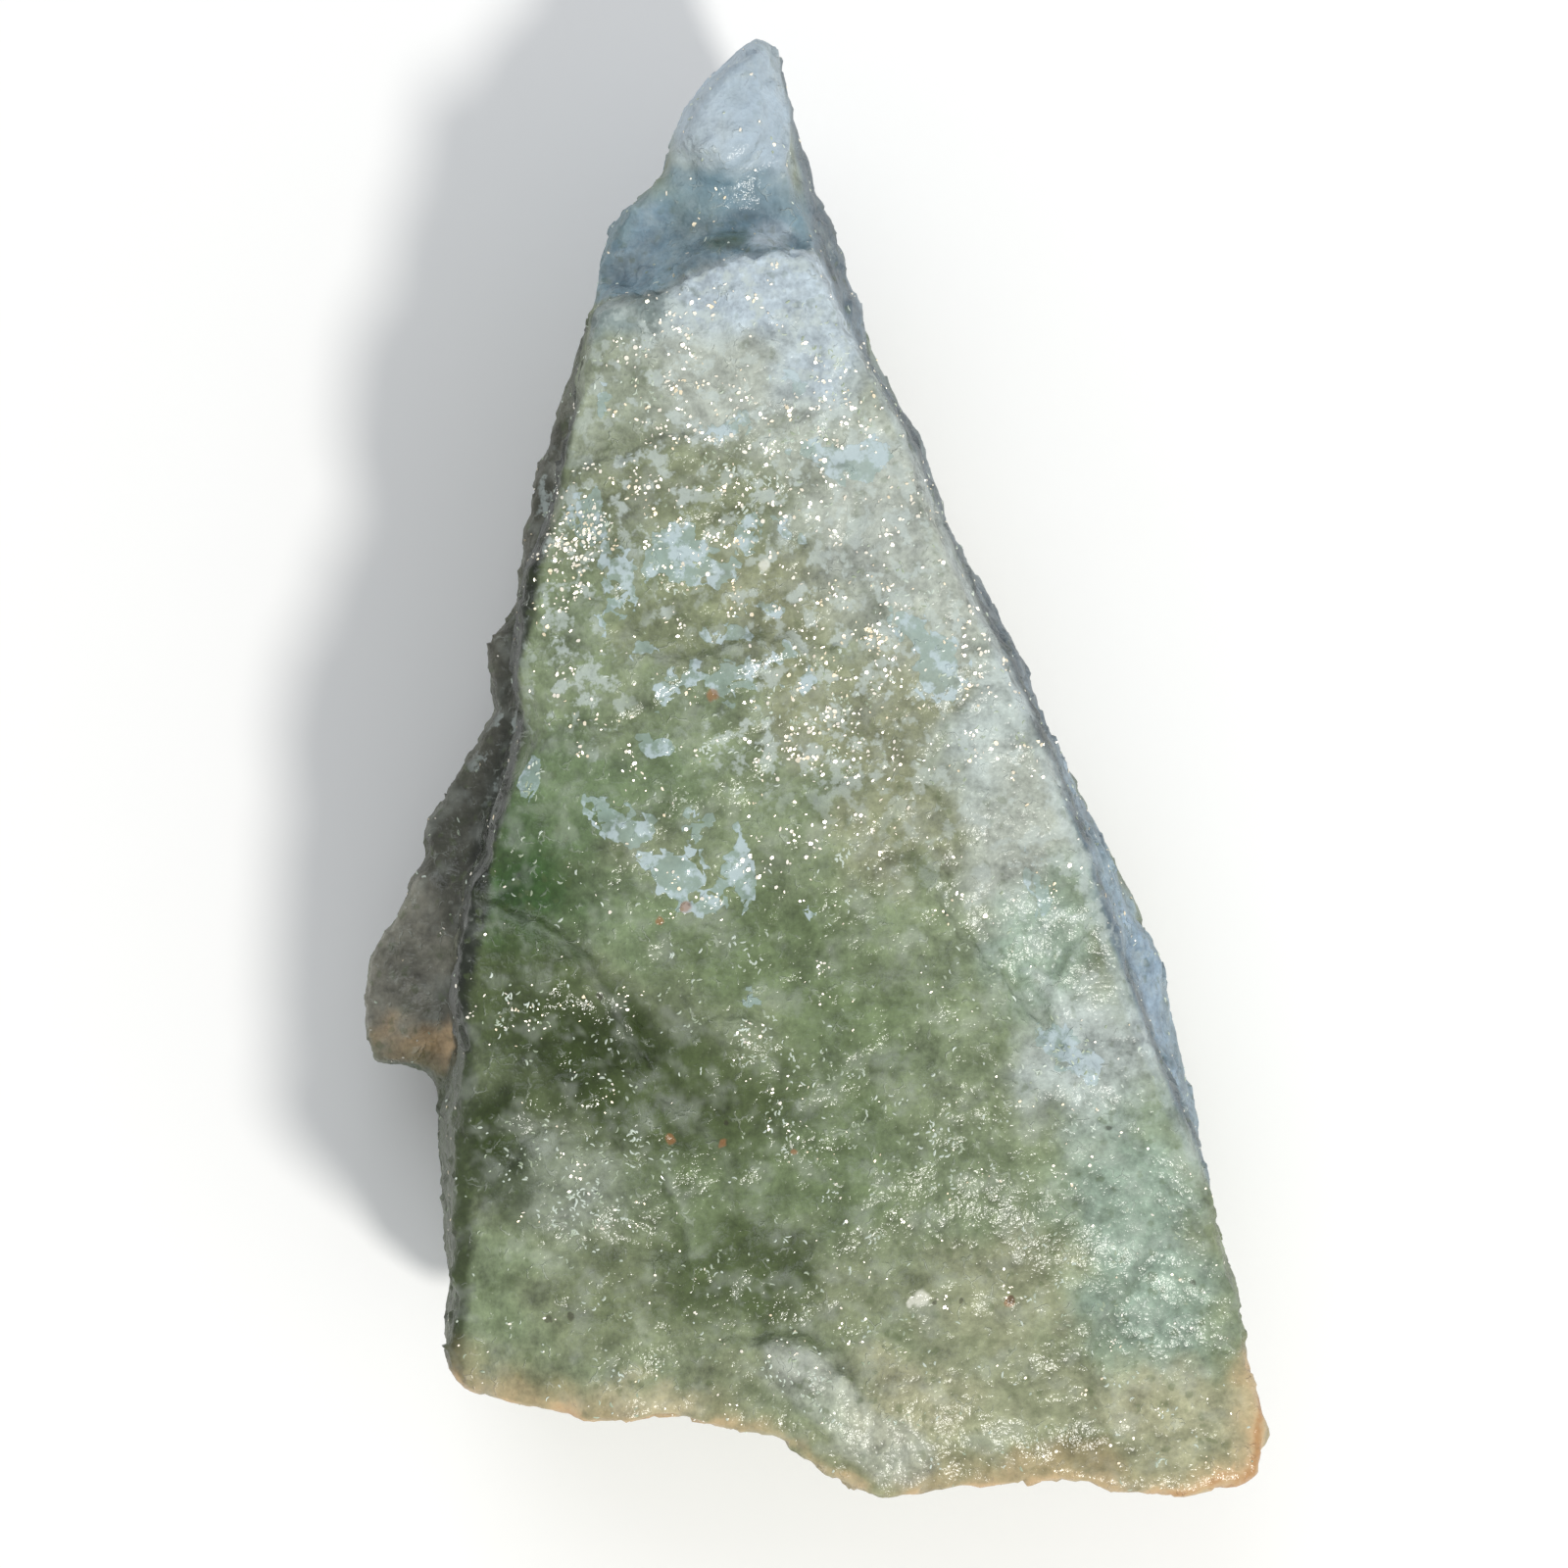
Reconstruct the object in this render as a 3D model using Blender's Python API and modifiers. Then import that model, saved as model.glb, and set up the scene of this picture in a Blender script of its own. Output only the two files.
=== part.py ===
# Rough green aventurine: one broken, unpolished lump of green mica quartz that lies on its back.
# X runs across the broad face, Y along the stone towards its spire, and Z up out of the broad face.
# The origin is under the middle of the stone, on the surface that it rests on.
# Outlines and places are in millimetres. MM turns them into metres where the meshes are made.

import math

import bmesh
import bpy
from mathutils import Vector

MM = 0.001

# Driving heights above the surface that the stone rests on
FACE_HEIGHT = 33.0
FACE_RISE_TO_FOOT = 0.035
GIRTH_HEIGHT = 15.0
LEDGE_HEIGHT = 13.5
LEDGE_GIRTH_HEIGHT = 7.5
LEDGE_DIP = 0.16
BULGE_HEIGHT = 22.5
BULGE_DIP = -0.5
BULGE_FOOT_HEIGHT = 7.0
NECK_HEIGHT = 26.0
SPIRE_GIRTH_HEIGHT = 17.0
TIP_HEIGHT = 28.5
TIP_GIRTH_HEIGHT = 22.0
TIP_FOOT_HEIGHT = 18.0
STEP_DROP = 0.5
STEP_GIRTH_HEIGHT = 25.0
STEP_FOOT_HEIGHT = 19.0
REST_LEVEL = 0.0
SUNK_LEVEL = -1.0

# How many neighbours on each side even out a point of a block's foot
FOOT_EASE = 2

# The slabs that cut the flats
SLAB_SIZE = (200.0, 200.0, 60.0)

# The middle of the stone in the outlines' own millimetres, which is set over the origin
MIDDLE = (-0.28, 0.56, 0.0)

# The broad face's edge, anticlockwise from the top left: x, y and how far its wall flares out below it.
# A negative flare is an edge that overhangs.
FACE_EDGE = (
    (-17.0, 35.0, 0.2),
    (-17.3, 31.0, 0.4),
    (-18.2, 26.5, 0.4),
    (-19.3, 21.0, 0.5),
    (-20.4, 15.5, 0.6),
    (-21.6, 11.0, 0.8),
    (-22.4, 6.5, 0.8),
    (-22.0, 2.5, 0.6),
    (-23.0, -1.0, 0.8),
    (-24.2, -5.0, 1.2),
    (-25.0, -9.0, 1.4),
    (-25.8, -13.5, 1.2),
    (-26.5, -17.5, 1.2),
    (-26.0, -21.0, 1.8),
    (-25.8, -25.0, 2.4),
    (-26.0, -29.5, 2.6),
    (-26.0, -34.5, 2.4),
    (-26.2, -39.5, 1.6),
    (-27.0, -44.0, 0.5),
    (-26.8, -46.8, -0.8),
    (-23.2, -47.9, -1.6),
    (-20.0, -48.8, -2.2),
    (-17.0, -49.6, -2.8),
    (-14.0, -49.0, -2.2),
    (-10.5, -48.8, -1.8),
    (-7.0, -49.6, -2.4),
    (-3.0, -50.2, -2.8),
    (-1.0, -51.8, -3.8),
    (1.8, -54.0, -5.2),
    (5.2, -55.6, -6.2),
    (9.4, -55.3, -5.8),
    (14.0, -54.8, -5.2),
    (19.3, -54.5, -4.8),
    (22.5, -55.2, -5.2),
    (27.0, -55.7, -4.6),
    (30.8, -55.2, -3.0),
    (33.2, -53.8, -1.4),
    (34.4, -50.5, -0.4),
    (33.8, -46.5, 0.3),
    (32.6, -42.0, 0.5),
    (31.2, -37.8, 0.5),
    (30.2, -33.3, 0.4),
    (28.5, -29.0, 1.2),
    (26.5, -24.0, 2.2),
    (24.5, -19.5, 2.8),
    (22.5, -15.0, 3.2),
    (21.0, -10.0, 3.2),
    (19.8, -5.5, 2.4),
    (18.0, -1.0, 1.8),
    (16.4, 3.2, 1.6),
    (14.8, 7.0, 1.6),
    (13.0, 11.0, 1.6),
    (11.0, 15.0, 1.8),
    (9.6, 18.0, 1.4),
    (8.4, 21.6, 1.2),
    (6.9, 25.0, 1.4),
    (5.4, 28.3, 1.2),
    (3.8, 31.3, 0.8),
    (2.2, 34.0, 1.4),
    (1.0, 36.6, 2.0),
    (0.0, 39.2, 1.6),
    (-3.0, 39.5, 1.6),
    (-6.0, 38.7, 1.6),
    (-9.4, 37.4, 1.4),
    (-11.6, 36.0, 1.2),
    (-14.2, 35.5, 0.8),
)

# The lower ledge that juts out on the left, from its upper end down to its blunt lower end
LEDGE_EDGE = (
    (-17.5, 35.0, 0.0),
    (-18.8, 33.6, 0.0),
    (-19.0, 29.5, 0.0),
    (-20.0, 26.2, 0.0),
    (-21.2, 23.0, 0.0),
    (-22.0, 20.0, 0.0),
    (-22.4, 15.8, 0.0),
    (-23.0, 12.4, 0.0),
    (-25.0, 9.8, 0.0),
    (-25.4, 7.0, 0.0),
    (-24.8, 4.6, 0.0),
    (-26.6, 1.0, 0.0),
    (-29.4, -2.4, 0.0),
    (-30.6, -4.6, 0.0),
    (-30.8, -8.0, 0.0),
    (-32.4, -11.8, 0.0),
    (-34.3, -14.8, 0.0),
    (-35.0, -18.5, 0.0),
    (-34.9, -21.0, 0.0),
    (-33.8, -22.6, 0.0),
    (-29.8, -23.6, 0.0),
    (-28.4, -26.6, 0.0),
    (-10.0, -30.0, 0.0),
    (-6.0, 20.0, 0.0),
)

# The bulge that stands out of the right flank, below the broad face
BULGE_EDGE = (
    (21.0, -8.4, 0.2),
    (23.8, -10.8, 0.5),
    (25.6, -13.4, 0.6),
    (26.9, -16.8, 0.6),
    (27.7, -20.6, 0.6),
    (28.9, -24.4, 0.6),
    (29.6, -28.0, 0.4),
    (27.0, -29.6, 0.2),
    (20.0, -22.0, 0.0),
    (17.0, -12.0, 0.0),
)

# The slope that runs from the top edge of the broad face down to the spire's neck
STEP_EDGE = (
    (-16.8, 34.2, 1.4),
    (-14.4, 35.1, 3.0),
    (-11.8, 35.7, 4.0),
    (-9.6, 37.0, 4.2),
    (-6.2, 38.3, 4.0),
    (-3.2, 39.1, 3.2),
    (-0.4, 38.8, 1.2),
    (0.4, 36.6, 0.4),
    (-1.0, 30.0, 0.0),
    (-14.0, 29.0, 0.0),
)

# The spire's neck, which drops behind the broad face, and the tip block that stands up again from it
NECK_EDGE = (
    (-4.2, 55.6, 0.2),
    (-3.2, 54.0, 0.6),
    (-2.6, 51.3, 0.9),
    (-2.0, 48.0, 1.3),
    (-1.6, 45.0, 1.8),
    (-1.0, 41.5, 2.4),
    (0.0, 38.4, 2.4),
    (1.2, 34.8, 2.0),
    (-6.0, 22.0, 0.8),
    (-16.8, 33.0, 0.2),
    (-16.6, 36.6, 0.2),
    (-15.9, 39.0, 0.2),
    (-14.4, 42.6, 0.2),
    (-12.4, 44.1, 0.2),
    (-11.2, 45.3, 0.1),
    (-10.7, 48.5, 0.1),
    (-9.6, 51.2, 0.1),
    (-8.1, 52.9, 0.1),
    (-6.3, 54.6, 0.1),
)
TIP_EDGE = (
    (-4.4, 55.2, 0.2),
    (-3.9, 53.6, 0.6),
    (-3.6, 51.0, 0.9),
    (-3.6, 48.6, 1.2),
    (-4.2, 47.0, 2.6),
    (-6.0, 46.6, 7.0),
    (-7.6, 46.6, 7.0),
    (-9.2, 47.4, 2.0),
    (-9.5, 49.2, 0.3),
    (-8.8, 51.2, 0.2),
    (-7.6, 52.8, 0.1),
    (-6.2, 54.2, 0.1),
)

# Planes that the underside and the ends broke along: a point on each, and the way that it faces
BREAK_PLANES = (
    ((-18.0, -12.0, 0.0), (-0.44, 0.06, -0.90)),
    ((-26.0, -36.0, 5.0), (-0.70, -0.34, -0.62)),
    ((15.0, -22.0, 0.0), (0.34, -0.16, -0.93)),
    ((24.0, -20.0, 5.5), (0.74, -0.12, -0.66)),
    ((12.0, 10.0, 3.0), (0.62, 0.38, -0.69)),
    ((0.0, -39.0, 0.0), (0.04, -0.78, -0.62)),
    ((0.0, -51.0, 9.0), (0.06, -0.96, -0.28)),
    ((20.0, -46.0, 6.0), (0.52, -0.66, -0.54)),
    ((-27.4, -44.0, 14.0), (-0.90, -0.34, -0.26)),
    ((-4.0, 12.0, 0.0), (-0.14, 0.20, -0.97)),
    ((-4.0, 34.0, 6.0), (0.10, 0.46, -0.88)),
    ((-20.0, 26.0, 6.0), (-0.70, 0.28, -0.66)),
)

# Shallow facets that tilt off the broad face: a point on each, and the way that it faces
FACE_FACETS = (
    ((12.0, -16.0, 33.2), (0.25, 0.03, 0.97)),
    ((5.0, 26.0, 32.2), (0.22, 0.16, 0.96)),
    ((-11.0, 29.0, 32.2), (-0.12, 0.20, 0.97)),
    ((-22.0, -30.0, 34.0), (-0.28, -0.06, 0.96)),
    ((2.0, -48.5, 34.6), (0.05, -0.32, 0.95)),
    ((-21.5, 4.0, 32.6), (-0.34, 0.08, 0.94)),
    ((-18.5, -9.0, 33.3), (-0.22, 0.07, 0.97)),
    ((22.0, -44.0, 34.2), (0.16, -0.10, 0.98)),
)

# The ledge's own facets: two on its top, one under its outer edge and one under its blunt end
LEDGE_FACETS = (
    ((-30.0, -9.0, 12.4), (-0.30, 0.14, 0.94)),
    ((-28.0, -20.0, 12.9), (0.06, -0.30, 0.95)),
    ((-34.5, -17.0, 7.0), (-0.80, 0.04, -0.60)),
    ((-31.0, -23.0, 6.5), (-0.25, -0.72, -0.65)),
)

# Shell-like scars, each the dent of a ball: its centre on the stone, the way that it lies out, its reach and depth
SCARS = (
    ((-7.0, 14.5, 32.6), (0.05, 0.10, 0.99), 7.5, 0.6),
    ((-4.0, -5.5, 33.3), (-0.08, -0.05, 0.99), 6.5, 0.55),
    ((19.0, -18.5, 31.5), (0.34, 0.12, 0.93), 5.2, 0.7),
    ((-15.0, -31.5, 34.3), (-0.10, 0.06, 0.99), 7.0, 0.6),
    ((8.0, -34.0, 34.3), (0.05, -0.04, 0.99), 8.5, 0.6),
    ((-23.5, 13.0, 22.0), (-0.97, 0.16, 0.18), 9.0, 0.9),
    ((-27.8, -35.0, 22.0), (-0.97, -0.10, 0.20), 8.0, 0.9),
    ((22.0, 0.0, 22.0), (0.88, 0.30, 0.36), 9.0, 1.0),
    ((-19.0, -19.5, 34.4), (-0.20, -0.10, 0.97), 4.6, 0.7),
    ((-22.0, 2.0, 31.0), (-0.80, 0.20, 0.56), 3.0, 0.7),
    ((-31.0, -4.0, 8.0), (-0.70, 0.60, -0.38), 7.0, 1.2),
    ((30.0, -38.0, 15.0), (0.86, -0.10, -0.50), 11.0, 1.6),
    ((2.0, -50.0, 17.0), (0.10, -0.97, -0.20), 13.0, 1.5),
    ((-12.0, -44.0, 5.0), (-0.20, -0.80, -0.56), 10.0, 1.4),
    ((-7.0, 36.0, 7.0), (-0.20, 0.40, -0.90), 10.0, 1.3),
    ((21.0, 4.0, 10.0), (0.75, 0.30, -0.59), 11.0, 1.5),
    ((-10.0, -4.0, 0.0), (-0.30, 0.20, -0.93), 9.0, 0.8),
)

# Weathering of the fused block: pitch and height of each swell, and the final count of triangles
VOXEL = 0.65
SOFTEN_ROUNDS = 3
BROAD_SWELL = (14.0, 1.9)
FINE_SWELL = (4.5, 0.6)
KEPT_SHARE = 0.104

GREEN = (0.20, 0.27, 0.17, 1.0)
ROUGHNESS = 0.45


def clear_scene():
    for old in list(bpy.data.objects):
        bpy.data.objects.remove(old)


def new_collection(name):
    made = bpy.data.collections.new(name)
    bpy.context.scene.collection.children.link(made)
    return made


def quartz():
    made = bpy.data.materials.new("green_quartz")
    made.use_nodes = True
    shader = made.node_tree.nodes["Principled BSDF"]
    shader.inputs["Base Color"].default_value = GREEN
    shader.inputs["Roughness"].default_value = ROUGHNESS
    shader.inputs["Metallic"].default_value = 0.0
    return made


def outward(ring, index):
    """The way out of a clockwise or anticlockwise ring at one of its points, in the plane."""
    before, after = Vector(ring[index - 1][:2]), Vector(ring[(index + 1) % len(ring)][:2])
    along = (after - before).normalized()
    turn = sum(a[0] * b[1] - b[0] * a[1] for a, b in zip(ring, ring[1:] + ring[:1]))
    return Vector((along.y, -along.x)) * math.copysign(1, turn)


def eased(ring, reach):
    """The ring with its small corners evened out, each point the mean of those within reach of it."""
    count = len(ring)
    near = range(-reach, reach + 1)
    return [sum((ring[(i + k) % count] for k in near), Vector((0, 0))) / len(near) for i in range(count)]


def loft(name, edge, top, girth, low, into):
    """A closed block: its edge at the height that top gives, flaring to the girth, then down to an even foot."""
    shape = bmesh.new()
    wide = [Vector(point[:2]) + outward(edge, index) * point[2] for index, point in enumerate(edge)]
    foot = eased(wide, FOOT_EASE)
    rings = [
        [shape.verts.new(Vector((x, y, top(x, y))) * MM) for x, y, flare in edge],
        [shape.verts.new(Vector((*point, girth)) * MM) for point in wide],
        [shape.verts.new(Vector((*point, low)) * MM) for point in foot],
    ]
    for upper, lower in zip(rings, rings[1:]):
        for index in range(len(edge)):
            corner = (index + 1) % len(edge)
            shape.faces.new((upper[index], upper[corner], lower[corner], lower[index]))
    shape.faces.new(rings[0])
    shape.faces.new(rings[2])
    bmesh.ops.recalc_face_normals(shape, faces=shape.faces)
    bmesh.ops.triangulate(shape, faces=shape.faces)
    return placed(name, shape, into)


def placed(name, shape, into):
    bmesh.ops.translate(shape, verts=shape.verts, vec=Vector(MIDDLE) * -MM)
    mesh = bpy.data.meshes.new(name)
    shape.to_mesh(mesh)
    shape.free()
    made = bpy.data.objects.new(name, mesh)
    into.objects.link(made)
    return made


def helper(made):
    made.hide_render = True
    made.display_type = "WIRE"
    return made


def faceted(block, planes):
    """Cuts the block along each plane, and closes the cut with one flat face."""
    shape = bmesh.new()
    shape.from_mesh(block.data)
    for point, facing in planes:
        everything = shape.verts[:] + shape.edges[:] + shape.faces[:]
        cut = bmesh.ops.bisect_plane(
            shape,
            geom=everything,
            plane_co=(Vector(point) - Vector(MIDDLE)) * MM,
            plane_no=Vector(facing),
            clear_outer=True,
        )
        rim = [part for part in cut["geom_cut"] if isinstance(part, bmesh.types.BMEdge)]
        if rim:
            bmesh.ops.holes_fill(shape, edges=rim)
    bmesh.ops.recalc_face_normals(shape, faces=shape.faces)
    bmesh.ops.triangulate(shape, faces=shape.faces)
    shape.to_mesh(block.data)
    shape.free()


def scar_ball(name, centre, out, reach, depth, into):
    """The ball whose dent is as wide as twice the reach, and as deep as the depth."""
    radius = (reach**2 + depth**2) / (2 * depth)
    middle = Vector(centre) + Vector(out).normalized() * (radius - depth)
    shape = bmesh.new()
    bmesh.ops.create_icosphere(shape, subdivisions=5, radius=radius * MM)
    bmesh.ops.translate(shape, verts=shape.verts, vec=middle * MM)
    return helper(placed(name, shape, into))


def join(stone, other, operation):
    boolean = stone.modifiers.new(f"{operation.lower()}_{other.name}", "BOOLEAN")
    boolean.operation = operation
    boolean.object = other


def swell(stone, name, pitch, height):
    cloud = bpy.data.textures.new(name, "CLOUDS")
    cloud.noise_scale = pitch * MM
    cloud.noise_depth = 3
    displace = stone.modifiers.new(name, "DISPLACE")
    displace.texture = cloud
    displace.texture_coords = "LOCAL"
    displace.strength = height * MM
    displace.mid_level = 0.5


def weathered(stone):
    remesh = stone.modifiers.new("fuse", "REMESH")
    remesh.mode = "VOXEL"
    remesh.voxel_size = VOXEL * MM
    soften = stone.modifiers.new("soften", "SMOOTH")
    soften.factor = 0.5
    soften.iterations = SOFTEN_ROUNDS
    swell(stone, "broad_swell", *BROAD_SWELL)
    swell(stone, "fine_swell", *FINE_SWELL)
    thin = stone.modifiers.new("thin_out", "DECIMATE")
    thin.ratio = KEPT_SHARE


def slab(name, point, facing, into):
    """A thick slab with one face through the point. What it cuts off leaves a flat that faces the given way."""
    shape = bmesh.new()
    bmesh.ops.create_cube(shape, size=1.0)
    bmesh.ops.scale(shape, verts=shape.verts, vec=Vector(SLAB_SIZE) * MM)
    out = Vector(facing).normalized()
    bmesh.ops.rotate(shape, verts=shape.verts, matrix=out.to_track_quat("Z", "Y").to_matrix())
    bmesh.ops.translate(shape, verts=shape.verts, vec=(Vector(point) + out * SLAB_SIZE[2] / 2) * MM)
    return helper(placed(name, shape, into))


def face_level(x, y):
    return FACE_HEIGHT - FACE_RISE_TO_FOOT * y


def ledge_level(x, y):
    return LEDGE_HEIGHT + LEDGE_DIP * (x + 26.0)


def step_level(x, y):
    return face_level(x, y) - STEP_DROP


def bulge_level(x, y):
    return BULGE_HEIGHT + BULGE_DIP * (x - 24.0)


def neck_level(x, y):
    return NECK_HEIGHT - 0.10 * (y - 40.0) + 0.12 * (x + 6.0)


def tip_level(x, y):
    return TIP_HEIGHT - 0.25 * (y - 46.0) + 0.10 * (x + 6.0)


def build():
    clear_scene()
    finished = new_collection("rough_green_aventurine")
    helpers = new_collection("helpers")
    stone = loft("aventurine", FACE_EDGE, face_level, GIRTH_HEIGHT, SUNK_LEVEL, finished)
    faceted(stone, FACE_FACETS)
    ledge = loft("ledge_block", LEDGE_EDGE, ledge_level, LEDGE_GIRTH_HEIGHT, SUNK_LEVEL, helpers)
    faceted(ledge, LEDGE_FACETS)
    blocks = (
        ledge,
        loft("bulge_block", BULGE_EDGE, bulge_level, GIRTH_HEIGHT, BULGE_FOOT_HEIGHT, helpers),
        loft("neck_block", NECK_EDGE, neck_level, SPIRE_GIRTH_HEIGHT, SUNK_LEVEL, helpers),
        loft("step_block", STEP_EDGE, step_level, STEP_GIRTH_HEIGHT, STEP_FOOT_HEIGHT, helpers),
        loft("tip_block", TIP_EDGE, tip_level, TIP_GIRTH_HEIGHT, TIP_FOOT_HEIGHT, helpers),
    )
    for block in blocks:
        join(stone, helper(block), "UNION")
    for index, (point, facing) in enumerate(BREAK_PLANES):
        join(stone, slab(f"break_{index}", point, facing, helpers), "DIFFERENCE")
    for index, (centre, out, reach, depth) in enumerate(SCARS):
        ball = scar_ball(f"scar_{index}", centre, out, reach, depth, helpers)
        join(stone, ball, "DIFFERENCE")
    weathered(stone)
    join(stone, slab("rest", (0, 0, REST_LEVEL), (0, 0, -1), helpers), "DIFFERENCE")
    stone.data.materials.append(quartz())


build()
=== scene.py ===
# Looks of a rough green aventurine that lies on its back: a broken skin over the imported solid, mica spangles,
# slivers of clear quartz and a pale stage. Places on the stone are in millimetres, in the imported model's frame.

import math
import random

import bmesh
import bpy
import numpy as np
from bpy.props import FloatProperty, FloatVectorProperty, IntProperty, PointerProperty
from mathutils import Euler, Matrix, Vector, noise


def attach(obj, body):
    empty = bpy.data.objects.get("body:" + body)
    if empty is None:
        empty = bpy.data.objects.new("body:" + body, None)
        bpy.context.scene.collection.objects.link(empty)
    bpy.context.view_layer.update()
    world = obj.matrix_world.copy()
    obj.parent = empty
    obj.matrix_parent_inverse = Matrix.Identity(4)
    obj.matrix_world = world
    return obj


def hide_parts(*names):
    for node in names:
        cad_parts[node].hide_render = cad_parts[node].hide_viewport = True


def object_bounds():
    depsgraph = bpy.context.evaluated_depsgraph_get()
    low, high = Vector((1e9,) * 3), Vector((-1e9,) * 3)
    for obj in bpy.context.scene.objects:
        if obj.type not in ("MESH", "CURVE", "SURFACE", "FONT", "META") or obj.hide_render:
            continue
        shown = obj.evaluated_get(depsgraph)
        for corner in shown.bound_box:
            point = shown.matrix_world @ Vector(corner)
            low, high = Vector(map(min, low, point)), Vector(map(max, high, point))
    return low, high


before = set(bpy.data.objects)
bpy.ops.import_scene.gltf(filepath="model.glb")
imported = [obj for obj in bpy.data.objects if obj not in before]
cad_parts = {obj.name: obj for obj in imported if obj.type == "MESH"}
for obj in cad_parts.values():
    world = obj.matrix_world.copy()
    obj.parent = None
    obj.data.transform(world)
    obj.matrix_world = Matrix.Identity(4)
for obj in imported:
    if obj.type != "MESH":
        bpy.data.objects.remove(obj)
CAD_LOW, CAD_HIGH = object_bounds()

bl_info = {
    "name": "Rough green aventurine",
    "version": (1, 0, 0),
    "blender": (4, 5, 0),
    "location": "View3D > Sidebar > Aventurine",
    "description": "Dresses the packed stone with a broken quartz skin, mica spangles, quartz slivers and a stage",
    "category": "Object",
}

MM = 0.001
STONE_NODE = "aventurine"
# The usual height of the broad face over the floor, in millimetres
FACE_LEVEL = 30.0
# Seeds keep the noise vectors and the random draws the same in every run
NOISE_SEED = 7
MICA_SEED = 11
SLIVER_SEED = 23
QUARTZ_IOR = 1.54

# Pitches of the skin's relief in millimetres: its lumps, its small flats, its grains and the steps' ragged lines
SWELL_PITCH = 6.0
FLAKE_PITCH = 2.1
SUGARY_PITCH = 0.9
WOBBLE_PITCH = 1.25
# Pitches at which the borders of the tints wander, fray and fringe
WANDER_PITCH = 15.0
FRAY_PITCH = 3.2
FRINGE_PITCH = 1.2
# Pitches of the patterns in the quartz
CLOUD_PITCH = 3.4
MURK_PITCH = 2.4
VEIL_PITCH = 1.5
SEAM_PITCH = 1.5
WISP_PITCH = 1.1
GRAIN_PITCH = 0.95
DRIFT_PITCH = 0.9
SUGAR_PITCH = 0.38

# Where the key light stands, seen from the stone, and the lie of the spangles that catch it for the camera
KEY_AIM = Vector((0.36, -0.48, 0.80)).normalized()
MICA_LIE = (KEY_AIM + Vector((0, 0, 1))).normalized()
# Below this y on the face the spangles are smaller
MICA_FADE = -12.0
# The chance that a spangle or sliver starts a new nest, and the height from which it drops onto the skin
NEW_NEST = 0.4
DROP_HEIGHT = 60.0
# Loose spangles and slivers lie only above this height
LOOSE_ABOVE = 1.5

# The picture is so many points wide, a millimetre of the broad face takes 13.6 of them, and the camera stands
# over this spot of the stone
PICTURE = 1600
POINTS_PER_MM = 13.6
SENSOR = 36.0
CAMERA_X = -2.07
CAMERA_Y = -1.74

# Hollows and rises of the broad face: x, y, reach across, reach along, turn in degrees, height
RELIEF = (
    (-15.0, -20.5, 4.6, 2.6, -35, -1.0),
    (-20.5, -16.5, 3.0, 4.2, 20, 0.6),
    (-17.5, -15.5, 5.0, 1.2, -30, 0.5),
    (-12.0, -25.5, 6.0, 2.4, -20, -0.6),
    (-16.5, -32.0, 6.5, 3.4, -10, 0.5),
    (-13.0, -36.2, 5.0, 1.2, -8, -0.5),
    (-4.9, -20.4, 2.9, 1.7, 12, 0.5),
    (-0.6, -45.4, 3.6, 1.9, -20, 0.6),
    (16.5, -19.0, 3.0, 4.5, 40, -0.6),
    (20.5, -23.5, 3.4, 2.0, -40, 0.5),
    (11.5, -14.0, 4.0, 3.0, 0, -0.4),
    (-10.0, -6.5, 4.8, 1.4, -32, 0.4),
    (-4.5, -3.0, 2.6, 2.0, 60, -0.5),
    (-11.8, 14.6, 5.4, 1.8, 12, 0.45),
    (-13.6, 10.6, 2.2, 3.0, 15, -0.4),
    (-6.0, 6.4, 5.6, 1.3, 10, 0.45),
    (-5.6, 1.6, 5.0, 1.2, 8, -0.4),
    (-6.2, 24.6, 3.6, 1.3, 10, 0.4),
    (2.8, 17.0, 3.4, 5.0, -30, -0.45),
    (-15.5, 27.0, 3.0, 5.0, 0, -0.35),
    (5.5, 5.5, 4.0, 5.0, -25, 0.4),
    (-21.0, 1.5, 2.4, 3.0, 0, -0.5),
    (-3.0, -33.0, 8.0, 4.0, 15, -0.5),
    (13.0, -38.0, 7.0, 5.0, -20, -0.45),
    (24.0, -36.0, 4.0, 6.0, 10, 0.4),
    (-22.0, -43.0, 3.0, 2.2, 0, -0.5),
    (-10.5, -45.5, 3.4, 1.6, 10, -0.45),
    (21.0, -51.5, 4.0, 1.8, 0, -0.5),
    (-5.3, 47.5, 2.8, 4.5, 10, 0.35),
    (-10.5, 41.0, 3.0, 2.4, 0, -0.5),
    (-3.4, 41.5, 1.6, 2.2, 20, -0.6),
)

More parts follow.
